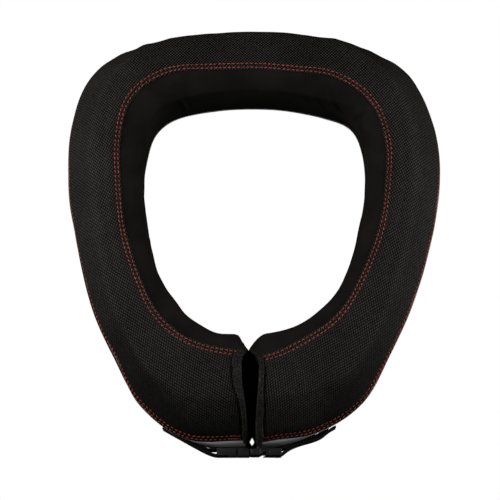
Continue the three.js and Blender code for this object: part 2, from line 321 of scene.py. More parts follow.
def closure_half(distance, height):
    """Half of the gap between the ends: a V at the neck that closes beside the seam, then a long slot."""
    beyond = distance - END_SEAM
    slot = GAP_OUTER + GAP_TOP_EXTRA * (1.0 - smooth_step(beyond, *GAP_TOP_FADE))
    before = GAP_TOUCH_PLACE - beyond
    notch = GAP_TOUCH + GAP_NOTCH * np.clip(before / (GAP_TOUCH_PLACE + END_SEAM - END_NECK), 0.0, 1.0)
    top = blend(notch, slot, smooth_step(-before, 0.0, GAP_TOUCH_FADE))
    at_neck = 1.0 - smooth_step(beyond, *GAP_DEEP_NECK_FADE)
    flare = smooth_step(beyond, *GAP_FLARE_START) * (1.0 - smooth_step(beyond, *GAP_FLARE_STOP))
    deep = GAP_DEEP + GAP_DEEP_NECK * at_neck + GAP_FLARE * flare
    return blend(deep, top, smooth_step(height, *GAP_HEIGHTS))


def corner_round(side, distance):
    """How far each end is rounded off where it meets the neck."""
    away = np.clip((distance - END_NECK + WALL_BULGE) / CORNER_ROUND_REACH, 0.0, 1.0)
    return np.where(side > 0.0, CORNER_ROUND_RIGHT, CORNER_ROUND_LEFT) * np.square(1.0 - away)


def closure_drift(distance, height):
    """How far the middle of the gap lies to the right; the ends meet in a shallow wave near the floor."""
    beyond = distance - END_SEAM
    low = 1.0 - smooth_step(height, *GAP_WAVE_FADE)
    wave = GAP_WAVE * np.sin(2.0 * np.pi * height / GAP_WAVE_LENGTH) * low
    outer = GAP_DRIFT * smooth_step(beyond, *GAP_DRIFT_START)
    return wave + outer - GAP_DRIFT_NECK * bell(beyond - GAP_DRIFT_NECK_PLACE, GAP_DRIFT_NECK_REACH)


def ring_angle(side, share, distance, height, setback):
    half = closure_half(distance, height) + side * closure_drift(distance, height)
    half = half + corner_round(side, distance)
    start = np.arcsin((half + setback) / distance)
    return start + share * (np.pi - start)


def settle(x, y, z):
    """The ring as it lies: bowed to one side, fuller at its left rear corner, with drooping ends."""
    across = np.clip((y - BOW_MIDDLE) / BOW_REACH, -1.0, 1.0)
    bow = BOW_SHIFT * np.square(1.0 - np.square(across))
    along = np.clip(x / SWAY_SPAN, -1.0, 1.0)
    sideways = np.sign(x) * np.square(np.sin(np.pi * along))
    sway = SWAY_SHIFT * sideways * (1.0 - smooth_step(y, SWAY_FAR, SWAY_NEAR))
    away = np.hypot(x - CORNER_X, y - CORNER_Y) / CORNER_REACH
    full = CORNER_SHIFT * np.square(np.clip(1.0 - np.square(away), 0.0, 1.0))
    near_end = np.square(np.clip(1.0 - np.abs(x) / DROOP_REACH, 0.0, 1.0))
    slack = smooth_step(-y, *DROOP_FRONT) * smooth_step(z, *DROOP_HEIGHT)
    droop = np.where(x > 0.0, DROOP_RIGHT, DROOP_LEFT) * near_end * slack
    placed = (AXIS_X + x + bow - full, AXIS_Y + y + sway + full - droop, z)
    return np.stack(np.broadcast_arrays(*placed), axis=-1)


def on_ring(side, share, outline, setback):
    """Section points (stations, points, 2) placed round the ring as (stations, points, 3)."""
    distance, height = outline[..., 0], outline[..., 1]
    angle = ring_angle(side[:, None], share[:, None], distance, height, setback)
    return settle(side[:, None] * distance * np.sin(angle), -distance * np.cos(angle), height)


# Working with lines of points
def run_lengths(lines):
    steps = np.linalg.norm(np.diff(lines, axis=-2), axis=-1)
    start = np.zeros(steps.shape[:-1] + (1,))
    return np.concatenate([start, np.cumsum(steps, axis=-1)], axis=-1)


def sample(lines, lengths, at):
    """Points on each line at the given lengths along it."""
    return np.stack([
        np.stack([np.interp(wanted, run, values) for values in line.T], axis=-1)
        for line, run, wanted in zip(lines, lengths, at)
    ])


def outward(lines):
    """Unit normals in the section's plane, on the left of the run from the neck over the top."""
    run = np.gradient(lines, axis=1)
    run /= np.linalg.norm(run, axis=-1, keepdims=True)
    return np.stack([-run[..., 1], run[..., 0]], axis=-1)


def grid_normals(grid):
    along = np.gradient(grid, axis=0)
    across = np.gradient(grid, axis=1)
    normal = np.cross(across, along)
    return normal / np.linalg.norm(normal, axis=-1, keepdims=True)


def ripple(turn, counts, phases):
    """Sum of waves round the ring, each with its number of waves in a full turn."""
    radians = np.radians(turn)
    waves = [np.sin(count * radians + phase) for count, phase in zip(counts, phases)]
    return sum(waves) / len(waves)


class Crease(NamedTuple):
    """A fold in the cloth from one place to another: degrees from the nape and millimetres across."""

    turn: float
    across: float
    end_turn: float
    end_across: float
    width: float
    depth: float


CREASE_START = (-0.2, 0.3)
CREASE_STOP = (0.7, 1.2)
BANK_SHARE = 0.6
BANK_PLACE = 1.8
BANK_WIDTH = 1.2


def crease_relief(creases, turn, across, radius):
    """Relief of the creases, with a small bank beside each furrow; a ridge has a negative depth."""
    relief = np.zeros(np.broadcast_shapes(turn.shape, across.shape))
    for crease in creases:
        x = np.radians(turn - crease.turn) * radius
        y = across - crease.across * MM
        end_x = math.radians(crease.end_turn - crease.turn) * radius
        end_y = (crease.end_across - crease.across) * MM
        span = math.hypot(end_x, end_y)
        share = (x * end_x + y * end_y) / span ** 2
        aside = (y * end_x - x * end_y) / span
        width = crease.width * MM
        ends = smooth_step(share, *CREASE_START) * (1.0 - smooth_step(share, *CREASE_STOP))
        furrow = bell(aside, width) - BANK_SHARE * bell(aside - BANK_PLACE * width, BANK_WIDTH * width)
        relief -= crease.depth * MM * furrow * ends
    return relief


# Building meshes from arrays
CLOTH_MAP = "cloth"
# Vertex value of the cover: how far its weave closes, together with the painted shade of its slopes
STRETCH_AND_SHADE = "stretch"
LINED = "lined"


def signed_volume(verts, faces):
    total = 0.0
    for face in faces:
        a = verts[face[0]]
        for second, third in zip(face[1:], face[2:]):
            total += float(np.dot(a, np.cross(verts[second], verts[third])))
    return total


def add_mesh(name, verts, faces, uv=None):
    mesh = bpy.data.meshes.new(name)
    mesh.from_pydata(np.asarray(verts, float).tolist(), [], faces)
    if uv is not None:
        corners = np.zeros(len(mesh.loops), int)
        mesh.loops.foreach_get("vertex_index", corners)
        layer = mesh.uv_layers.new(name=CLOTH_MAP)
        layer.uv.foreach_set("vector", np.asarray(uv, np.float32)[corners].ravel())
    mesh.polygons.foreach_set("use_smooth", np.ones(len(mesh.polygons), bool))
    mesh.update()
    piece = bpy.data.objects.new(name, mesh)
    bpy.context.scene.collection.objects.link(piece)
    return piece


def loft_faces(rows, columns):
    """Quads of a tube of closed rows, with a flat face on its first and last row."""
    index = np.arange(rows * columns).reshape(rows, columns)
    following = np.roll(index, -1, axis=1)
    quads = np.stack([index[:-1], following[:-1], following[1:], index[1:]], axis=-1)
    faces = quads.reshape(-1, 4).tolist()
    faces.append(index[0][::-1].tolist())
    faces.append(index[-1].tolist())
    return faces


def faced_out(verts, faces):
    return faces if signed_volume(verts, faces) > 0.0 else [face[::-1] for face in faces]


def add_loft(name, grid, uv=None):
    """Closed piece through rows of points (rows, columns, 3)."""
    rows, columns = grid.shape[:2]
    verts = grid.reshape(-1, 3)
    faces = faced_out(verts, loft_faces(rows, columns))
    return add_mesh(name, verts, faces, None if uv is None else uv.reshape(-1, 2))


def add_copies(name, copies, faces, uv=None):
    """Many small closed shapes (copies, points, 3) with the same faces, joined in one piece."""
    count, size = copies.shape[:2]
    faces = faced_out(copies[0], faces)
    joined = [[corner + copy * size for corner in face] for copy in range(count) for face in faces]
    return add_mesh(name, copies.reshape(-1, 3), joined, None if uv is None else uv.reshape(-1, 2))


def give_values(piece, name, values):
    """Stores a number for each vertex, for the material to read."""
    layer = piece.data.attributes.new(name=name, type="FLOAT", domain="POINT")
    layer.data.foreach_set("value", np.asarray(values, np.float32).ravel())


def dress(piece, material, node=None):
    """Gives a finished piece its material and its place in the frame."""
    piece.data.materials.clear()
    piece.data.materials.append(material)
    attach(piece, BODY)
    if node:
        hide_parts(node)


# Sizes, colours and stage settings
def length(name, description, millimetres):
    return FloatProperty(
        name=name, description=description, default=millimetres * MM, min=0.0, unit="LENGTH", precision=5,
    )


def colour(name, description, value):
    return FloatVectorProperty(
        name=name, description=description, default=value, subtype="COLOR", size=3, min=0.0, max=1.0,
    )


def power(name, description, watts):
    return FloatProperty(name=name, description=description, default=watts, subtype="POWER")


class CollarSizes(PropertyGroup):
    """Sizes of the collar that a user would change."""

    front_height: length("Front height", "Height of the ring at the closure", 48)
    nape_height: length("Nape height", "Height of the ring at the back of the neck", 60)
    front_rim_height: length("Front rim height", "Height of the outer seam at the closure", 27)
    nape_rim_height: length("Nape rim height", "Height of the outer seam at the nape", 20)
    cloth: length("Cloth thickness", "Thickness of the lining and the base panel", 1.8)
    fold: length("Fold thickness", "Thickness of the cover's folded edges", 0.9)
    edge_margin: length("Edge margin", "From a folded edge to its first row of stitches", 2.0)
    row_gap: length("Row gap", "Between the two rows of stitches", 2.7)
    stitch_pitch: length("Stitch pitch", "From one stitch to the next", 3.5)
    stitch_length: length("Stitch length", "Length of a stitch that shows", 2.3)
    thread: length("Thread width", "Width of the sewing thread", 0.78)
    webbing_width: length("Webbing width", "Width of the straps", 20)
    webbing_thickness: length("Webbing thickness", "Thickness of the straps", 1.5)
    webbing_bottom: length("Webbing height", "Height of the straps' lower edge over the floor", 2)
    stations: IntProperty(
        name="Stations", description="Sections in each half of the woven cover",
        default=400, min=60, max=800,
    )


class CollarColours(PropertyGroup):
    """Colours of the collar's materials."""

    cover_float: colour("Cover floats", "Raised threads of the woven cover", (0.0735, 0.0695, 0.0645))
    cover_ground: colour("Cover ground", "Hollows between the cover's threads", (0.0008, 0.0008, 0.0008))
    lining: colour("Lining", "Smooth cloth round the neck", (0.0145, 0.0134, 0.0122))
    base_cloth: colour("Base cloth", "Grey cloth of the base panel", (0.46, 0.46, 0.455))
    brushed: colour("Brushed caps", "Brushed loop cloth on the ends", (0.034, 0.0325, 0.0305))
    webbing: colour("Webbing", "Strap webbing", (0.016, 0.0156, 0.0150))
    plastic: colour("Plastic", "Moulded buckle", (0.020, 0.0193, 0.0185))
    thread: colour("Thread", "Sewing thread of the double seams", (0.62, 0.105, 0.058))


class CollarStage(PropertyGroup):
    """Camera and studio light."""

    target: FloatVectorProperty(
        name="Camera target", description="Point that the camera looks at",
        default=(-3.03 * MM, -8.13 * MM, 25 * MM), subtype="TRANSLATION", unit="LENGTH",
    )
    elevation: FloatProperty(
        name="Camera elevation", description="Angle of the view above the floor",
        default=math.radians(77), subtype="ANGLE",
    )
    distance: length("Camera distance", "From the target to the camera", 1150)
    lens: FloatProperty(name="Lens", description="Focal length in millimetres", default=108.06, min=10.0)
    left: power("Left light", "Power of the left light", 1.95)
    rear: power("Rear light", "Power of the light at rear left", 0.5)
    right: power("Right light", "Power of the right light", 1.95)
    fill: FloatProperty(name="Fill", description="Strength of the surrounding light", default=0.02, min=0.0)


# Shared effects as shader node groups
def group(name, inputs, outputs):
    """A new shader node group with its named sockets, and its first and last node."""
    tree = bpy.data.node_groups.new(name, "ShaderNodeTree")
    for socket, kind, value in inputs:
        made = tree.interface.new_socket(name=socket, in_out="INPUT", socket_type=f"NodeSocket{kind}")
        if value is not None:
            made.default_value = value
    for socket, kind in outputs:
        tree.interface.new_socket(name=socket, in_out="OUTPUT", socket_type=f"NodeSocket{kind}")
    return tree, tree.nodes.new("NodeGroupInput"), tree.nodes.new("NodeGroupOutput")


def feed(tree, socket, value):
    if isinstance(value, bpy.types.NodeSocket):
        tree.links.new(value, socket)
    else:
        socket.default_value = value


def maths(tree, operation, first, second=0.0, third=0.0):
    node = tree.nodes.new("ShaderNodeMath")
    node.operation = operation
    for socket, value in zip(node.inputs, (first, second, third)):
        feed(tree, socket, value)
    return node.outputs[0]


def spread(tree, value, low, high, to_low=0.0, to_high=1.0):
    """Value mapped smoothly from one range to another."""
    node = tree.nodes.new("ShaderNodeMapRange")
    node.interpolation_type = "SMOOTHSTEP"
    for socket, wanted in zip(node.inputs, (value, low, high, to_low, to_high)):
        feed(tree, socket, wanted)
    return node.outputs["Result"]


FLOAT_RANGE = (-0.05, 0.6)
HEIGHT_RANGE = (-0.8, 0.9)
GRAIN_DETAIL = 3.0


def weave_group():
    """Plain weave from a map in thread counts: raised floats both ways and hollows between them."""
    tree, start, end = group(
        "plain_weave",
        [("Threads", "Vector", None)],
        [("Float", "Float"), ("Height", "Float"), ("Thread tone", "Float")],
    )
    split = tree.nodes.new("ShaderNodeSeparateXYZ")
    tree.links.new(start.outputs["Threads"], split.inputs[0])
    across = maths(tree, "COSINE", maths(tree, "MULTIPLY", split.outputs["X"], math.pi))
    along = maths(tree, "COSINE", maths(tree, "MULTIPLY", split.outputs["Y"], math.pi))
    checker = maths(tree, "MULTIPLY", across, along)
    tree.links.new(spread(tree, checker, *FLOAT_RANGE), end.inputs["Float"])
    tree.links.new(spread(tree, checker, *HEIGHT_RANGE), end.inputs["Height"])
    whole = tree.nodes.new("ShaderNodeVectorMath")
    whole.operation = "FLOOR"
    tree.links.new(start.outputs["Threads"], whole.inputs[0])
    shade = tree.nodes.new("ShaderNodeTexWhiteNoise")
    shade.noise_dimensions = "2D"
    tree.links.new(whole.outputs[0], shade.inputs["Vector"])
    tree.links.new(shade.outputs["Value"], end.inputs["Thread tone"])
    return tree


def grain_group():
    """Fine fibre grain of a cloth, and a slow drift of its tone over the piece."""
    tree, start, end = group(
        "cloth_grain",
        [("Place", "Vector", None), ("Fibre scale", "Float", 1800.0), ("Drift scale", "Float", 28.0)],
        [("Fibre", "Float"), ("Drift", "Float")],
    )
    fibre = tree.nodes.new("ShaderNodeTexNoise")
    drift = tree.nodes.new("ShaderNodeTexNoise")
    for node, scale, output in ((fibre, "Fibre scale", "Fibre"), (drift, "Drift scale", "Drift")):
        tree.links.new(start.outputs["Place"], node.inputs["Vector"])
        tree.links.new(start.outputs[scale], node.inputs["Scale"])
        node.inputs["Detail"].default_value = GRAIN_DETAIL
        tree.links.new(node.outputs["Fac"], end.inputs[output])
    return tree


def ribs_group():
    """Slanted ribs from a map in millimetres: webbing's herringbone, or a thread's twisted plies."""
    tree, start, end = group(
        "slanted_ribs",
        [("Map", "Vector", None), ("Pitch", "Float", 1.0), ("Slant", "Float", 1.0), ("Turn", "Float", 3.0)],
        [("Rib", "Float")],
    )
    split = tree.nodes.new("ShaderNodeSeparateXYZ")
    tree.links.new(start.outputs["Map"], split.inputs[0])
    fold = maths(tree, "PINGPONG", split.outputs["Y"], start.outputs["Turn"])
    slanted = maths(tree, "MULTIPLY_ADD", fold, start.outputs["Slant"], split.outputs["X"])
    phase = maths(tree, "DIVIDE", slanted, start.outputs["Pitch"])
    wave = maths(tree, "SINE", maths(tree, "MULTIPLY", phase, 2.0 * math.pi))
    tree.links.new(spread(tree, wave, -1.0, 1.0), end.inputs["Rib"])
    return tree


def shared(maker):
    """The node group that a maker builds, built once."""
    name = {weave_group: "plain_weave", grain_group: "cloth_grain", ribs_group: "slanted_ribs"}[maker]
    return bpy.data.node_groups.get(name) or maker()


NOISE_RANGE = (0.3, 0.7)


class Finish:
    """A material being put together round one Principled shader."""

    def __init__(self, name):
        self.material = bpy.data.materials.new(name)
        self.material.use_nodes = True
        self.tree = self.material.node_tree
        self.shader = self.tree.nodes["Principled BSDF"]

    def place(self):
        return self.tree.nodes.new("ShaderNodeTexCoord").outputs["Object"]

    def cloth_map(self):
        node = self.tree.nodes.new("ShaderNodeUVMap")
        node.uv_map = CLOTH_MAP
        return node.outputs["UV"]

    def grain(self, fibre, drift):
        return self.use(grain_group, place=self.place(), fibre_scale=fibre, drift_scale=drift)

    def values(self, name):
        node = self.tree.nodes.new("ShaderNodeAttribute")
        node.attribute_name = name
        return node.outputs["Fac"]

    def use(self, maker, **inputs):
        node = self.tree.nodes.new("ShaderNodeGroup")
        node.node_tree = shared(maker)
        for name, value in inputs.items():
            feed(self.tree, node.inputs[name.replace("_", " ").capitalize()], value)
        return node.outputs

    def noise(self, value, low, high):
        """Noise, most of which lies in NOISE_RANGE, mapped to another range."""
        return spread(self.tree, value, *NOISE_RANGE, low, high)

    def ranged(self, value, low, high):
        """A value from 0 to 1 mapped to another range."""
        return spread(self.tree, value, 0.0, 1.0, low, high)

    def times(self, first, second):
        return maths(self.tree, "MULTIPLY", first, second)

    def mix(self, share, first, second):
        node = self.tree.nodes.new("ShaderNodeMix")
        node.data_type = "RGBA"
        for socket, value in (("Factor_Float", share), ("A_Color", first), ("B_Color", second)):
            slot = next(item for item in node.inputs if item.identifier == socket)
            feed(self.tree, slot, value)
        return next(item for item in node.outputs if item.identifier == "Result_Color")

    def tint(self, colour_socket, factor):
        """Colour made darker or lighter by a factor."""
        node = self.tree.nodes.new("ShaderNodeVectorMath")
        node.operation = "SCALE"
        feed(self.tree, node.inputs[0], colour_socket)
        feed(self.tree, node.inputs["Scale"], factor)
        return node.outputs[0]

    def bump(self, height, distance, strength=1.0):
        node = self.tree.nodes.new("ShaderNodeBump")
        node.inputs["Distance"].default_value = distance
        node.inputs["Strength"].default_value = strength
        self.tree.links.new(height, node.inputs["Height"])
        self.tree.links.new(node.outputs["Normal"], self.shader.inputs["Normal"])

    def set(self, **values):
        for name, value in values.items():
            feed(self.tree, self.shader.inputs[name.replace("_", " ").title().replace("Ior", "IOR")], value)
        return self.material


def rgba(value, factor=1.0):
    return tuple(component * factor for component in value) + (1.0,)


def made_once(name):
    """Has a material built the first time it is asked for, and found by its name after that."""
    def wrap(build):
        def find(colours):
            return bpy.data.materials.get(name) or build(Finish(name), colours)
        return find
    return wrap


@made_once("basket_woven_cloth")
def woven_material(finish, colours):
    weave = finish.use(weave_group, threads=finish.cloth_map())
    grain = finish.grain(fibre=2600.0, drift=22.0)
    stretch = finish.values(STRETCH_AND_SHADE)
    closed = finish.times(stretch, 0.65)
    # Painted shade: on the slopes the floats' mean share falls from 0.42 to 0.25, so the slopes come out
    # darker
    level = spread(finish.tree, stretch, 0.55, 1.0, 0.42, 0.25)
    even = maths(finish.tree, "SUBTRACT", level, weave["Float"])
    floats = maths(finish.tree, "MULTIPLY_ADD", even, closed, weave["Float"])
    cloth = finish.mix(floats, rgba(colours.cover_ground), rgba(colours.cover_float))
    tone = finish.ranged(weave["Thread tone"], 0.82, 1.18)
    drift = finish.noise(grain["Drift"], 0.88, 1.12)
    tight_and_shaded = spread(finish.tree, stretch, 0.95, 1.3)
    shade = finish.times(tone, drift)
    # Painted shade: past 0.95, on the front slopes, the colour is darkened down to 0.72
    shade = finish.times(shade, finish.ranged(tight_and_shaded, 1.0, 0.72))
    relief = finish.ranged(tight_and_shaded, 1.0, 0.35)
    finish.bump(finish.times(weave["Height"], relief), 0.25 * MM, 0.7)
    return finish.set(
        base_color=finish.tint(cloth, shade),
        roughness=finish.ranged(weave["Float"], 0.85, 0.58),
        specular_ior_level=0.03,
    )


@made_once("smooth_lining")
def lining_material(finish, colours):
    knit = finish.use(ribs_group, map=finish.cloth_map(), pitch=0.7, slant=0.35, turn=400.0)
    grain = finish.grain(fibre=3200.0, drift=35.0)
    drift = finish.noise(grain["Drift"], 0.75, 1.25)
    rib = finish.ranged(knit["Rib"], 0.8, 1.15)
    height = maths(finish.tree, "MULTIPLY_ADD", grain["Fibre"], 0.6, knit["Rib"])
    finish.bump(height, 0.06 * MM, 0.6)
    return finish.set(
        base_color=finish.tint(tuple(colours.lining), finish.times(rib, drift)),
        roughness=finish.noise(grain["Fibre"], 0.62, 0.78),
        specular_ior_level=0.04,
    )


@made_once("grey_base_cloth")
def base_material(finish, colours):
    weave = finish.use(weave_group, threads=finish.cloth_map())
    grain = finish.grain(fibre=2200.0, drift=30.0)
    cloth = finish.mix(weave["Float"], rgba(colours.base_cloth, 0.7), rgba(colours.base_cloth, 1.15))
    drift = finish.noise(grain["Drift"], 0.88, 1.1)
    finish.bump(weave["Height"], 0.12 * MM, 0.6)
    return finish.set(
        base_color=finish.tint(cloth, drift),
        roughness=finish.noise(grain["Fibre"], 0.8, 0.95),
        specular_ior_level=0.2,
    )


@made_once("brushed_loop_pile")
def brushed_material(finish, colours):
    grain = finish.grain(fibre=1000.0, drift=160.0)
    fibre = finish.noise(grain["Fibre"], 0.3, 1.9)
    drift = finish.noise(grain["Drift"], 0.75, 1.25)
    pile = finish.tint(tuple(colours.brushed), finish.times(fibre, drift))
    finish.bump(grain["Fibre"], 0.5 * MM, 0.8)
    return finish.set(
        base_color=finish.mix(finish.values(LINED), pile, rgba(colours.lining)),
        roughness=spread(finish.tree, grain["Fibre"], 0.2, 0.8, 0.9, 1.0),
        specular_ior_level=0.02,
    )


@made_once("ribbed_webbing")
def webbing_material(finish, colours):
    ribs = finish.use(ribs_group, map=finish.cloth_map(), pitch=1.6, slant=0.6, turn=2.5)
    grain = finish.grain(fibre=2600.0, drift=60.0)
    rib = finish.ranged(ribs["Rib"], 0.35, 1.5)
    drift = finish.noise(grain["Fibre"], 0.8, 1.2)
    finish.bump(ribs["Rib"], 0.25 * MM, 0.8)
    return finish.set(
        base_color=finish.tint(tuple(colours.webbing), finish.times(rib, drift)),
        roughness=finish.ranged(ribs["Rib"], 0.85, 0.6),
        specular_ior_level=0.05,
    )


@made_once("moulded_plastic")
def plastic_material(finish, colours):
    grain = finish.grain(fibre=1400.0, drift=90.0)
    drift = finish.noise(grain["Drift"], 0.85, 1.2)
    finish.bump(grain["Fibre"], 0.05 * MM, 0.5)
    return finish.set(
        base_color=finish.tint(tuple(colours.plastic), drift),
        roughness=finish.noise(grain["Drift"], 0.38, 0.52),
        specular_ior_level=0.3,
    )


@made_once("sewing_thread")
def thread_material(finish, colours):
    plies = finish.use(ribs_group, map=finish.cloth_map(), pitch=0.8, slant=0.5, turn=400.0)
    grain = finish.grain(fibre=2400.0, drift=45.0)
    ply = finish.ranged(plies["Rib"], 0.55, 1.2)
    drift = finish.noise(grain["Drift"], 0.75, 1.2)
    finish.bump(plies["Rib"], 0.12 * MM, 0.8)
    return finish.set(
        base_color=finish.tint(tuple(colours.thread), finish.times(ply, drift)),
        roughness=finish.noise(grain["Fibre"], 0.45, 0.65),
        specular_ior_level=0.4,
    )


# The caps' lips lie on the cover's ends: their width over the top and over the slope
LIP_NEAR = {"left": 3.9 * MM, "right": 0.9 * MM}
LIP_FAR = {"left": 1.1 * MM, "right": 2.7 * MM}
LIP_CHANGE = (118 * MM, 141 * MM)
LIP_WAVE_UP = 0.08
LIP_RATE_UP = 620.0
LIP_WAVE_OUT = 0.07
LIP_RATE_OUT = 410.0
LIP_PHASE_OUT = 1.0
HAND_SIDE = {"left": -1.0, "right": 1.0}


def lip_width(hand, distance):
    return blend(LIP_NEAR[hand], LIP_FAR[hand], smooth_step(distance, *LIP_CHANGE))


# The woven cover
EDGE_STEPS = np.array([
    0, 0.3, 0.7, 1.15, 1.6, 2.0, 2.4, 2.85, 3.35, 3.85, 4.3, 4.7, 5.1, 5.7, 6.5, 7.6, 9.2,
]) * MM
MIDDLE_STEPS = 30
COVER_BACK = slice(None, None, -3)
VALLEY_WIDTH = 0.55 * MM
VALLEY_DEPTH = 0.42 * MM
VALLEY_PULL = 0.3
EDGE_ROUND = 1.0 * MM
SEAM_PUFF = 0.5 * MM
SEAM_PUFF_PLACE = 9.5 * MM
SEAM_PUFF_REACH = 4 * MM
FOLD_FADE = (3 * MM, 12 * MM)
RIM_TUCK = 1.8 * MM
RIM_TUCK_START = (82, 104)
RIM_TUCK_STOP = (138, 150)
SKIN = 3.0 * MM
SKIN_AT_SEAM = 0.05 * MM
SKIN_AT_RIM = 1.2 * MM
SKIN_RIM_WIDTH = 1.5 * MM
END_FURROW = 0.8 * MM
END_FURROW_PLACE = 0.9 * MM
END_FURROW_REACH = 1.1 * MM
PUCKERS = ((0.35, 1500.0, 0.0), (0.25, 930.0, 2.0))
LINING_TUCK = 1.0 * MM
GATHER = 1.2 * MM
GATHER_PLACE = 20 * MM
GATHER_REACH = 11 * MM
GATHER_UNTIL = (30, 55)
GATHER_WAVES = ((47, 61, 38), (0.4, 2.1, 4.0))
WAVER = 0.5 * MM
WAVER_FROM = (6 * MM, 20 * MM)
WAVER_WAVES = ((11, 17, 23), (1.0, 0.2, 3.0))
COVER_RADIUS = 140 * MM
STEEP = (0.74, 0.97)
STRETCH_FRONT = ((0.45, 15, 50), (0.1, 50, 100))
# Painted shade: these lift the value past 0.95 on the front slopes, where the cover's colour is darkened
STRETCH_SHADE_MOST_LEFT = 0.4
STRETCH_SHADE_MOST_RIGHT = 0.25
STRETCH_SHADE_MOST_FROM = (120, 150)
SLOPE_TAKEN_UP = 0.45

COVER_CREASES = (
    Crease(172, 6, 168, 34, 4.5, 0.7),
    Crease(168, 2, 163, 26, 3.5, 0.5),
    Crease(164, 24, 158, 52, 5.0, 0.5),
    Crease(-174, 10, -171, 40, 4.0, 0.5),
    Crease(-167, 30, -161, 56, 5.0, 0.4),
    Crease(38, 34, 46, 48, 4.0, 0.5),
    Crease(-37, 30, -45, 46, 4.0, 0.5),
    Crease(96, 30, 84, 44, 6.0, 0.35),
    Crease(-104, 28, -90, 40, 6.0, 0.35),
)


# Its cloth in threads: how it is pulled round from the nape to both front ends
WEAVE_NAPE = 134 * MM
WEAVE_REACH = 249 * MM
WEAVE_PULL_MOST = 1.4
WEAVE_PARTING = 25 * MM
WEAVE_PARTING_FADE = (0.0, 60 * MM)
WEAVE_ACROSS = 860.0
WEAVE_SPLAY = 57.9
WEAVE_SPLAY_POWER = 1.75
WEAVE_FOLD = 20 * MM
WEAVE_ALONG = 249.0
WEAVE_EASE = (0.98, 0.2)
WEAVE_BEND = 360.0
WEAVE_BEND_POWER = 0.8
WEAVE_BEYOND = 960.0


def weave_counts(side, distance, angle):
    """Thread counts across and along the cover's cloth."""
    x = side * distance * np.sin(angle)
    y = -distance * np.cos(angle)
    pull = np.clip((WEAVE_NAPE - y) / WEAVE_REACH, 0.0, WEAVE_PULL_MOST)
    parting = blend(side, np.tanh(x / WEAVE_PARTING), smooth_step(y, *WEAVE_PARTING_FADE))
    across = WEAVE_ACROSS * x + WEAVE_SPLAY * np.power(pull, WEAVE_SPLAY_POWER) * parting
    aside = np.sqrt(np.square(x) + np.square(WEAVE_FOLD)) - WEAVE_FOLD
    along = -WEAVE_ALONG * (WEAVE_EASE[0] * pull - WEAVE_EASE[1] * np.square(pull))
    along = along + WEAVE_BEND * np.power(pull, WEAVE_BEND_POWER) * aside
    beyond = np.maximum(y - WEAVE_NAPE, 0.0)
    return np.stack([across, along + WEAVE_BEYOND * beyond], axis=-1)


def rim_tuck(turn):
    """How far the left side's outer seam is rolled in under the slope."""
    return RIM_TUCK * smooth_step(-turn, *RIM_TUCK_START) * (1.0 - smooth_step(-turn, *RIM_TUCK_STOP))


def edge_relief(sizes, edge, run):
    """Height of the cloth near a folded and double-stitched edge."""
    pulled = 1.0 + VALLEY_PULL * np.cos(2.0 * np.pi * run / sizes.stitch_pitch)
    rows = bell(edge - sizes.edge_margin, VALLEY_WIDTH)
    rows = rows + bell(edge - sizes.edge_margin - sizes.row_gap, VALLEY_WIDTH)
    away = 1.0 - np.clip(edge / EDGE_ROUND, 0.0, 1.0)
    roll = sizes.fold * (1.0 - np.sqrt(1.0 - np.square(away)))
    puff = SEAM_PUFF * bell(edge - SEAM_PUFF_PLACE, SEAM_PUFF_REACH)
    return puff - VALLEY_DEPTH * rows * pulled - roll


def end_relief(grid, outline, across):
    """Puckered furrow beside the lips of both caps."""
    steps = np.linalg.norm(np.diff(grid, axis=0), axis=-1)
    run = np.concatenate([np.zeros((1, grid.shape[1])), np.cumsum(steps, axis=0)])
    pucker = 1.0 + sum(size * np.sin(across * rate + phase) for size, rate, phase in PUCKERS)
    relief = np.zeros(run.shape)
    for hand, from_end in (("right", run), ("left", run[-1] - run)):
        beside = from_end - lip_width(hand, outline[..., 0]) - END_FURROW_PLACE
        relief -= END_FURROW * pucker * bell(beside, END_FURROW_REACH)
    return relief


class Cover(NamedTuple):
    """The visible face of the woven cover, station by station."""

    grid: np.ndarray
    counts: np.ndarray
    stretch: np.ndarray
    under: np.ndarray


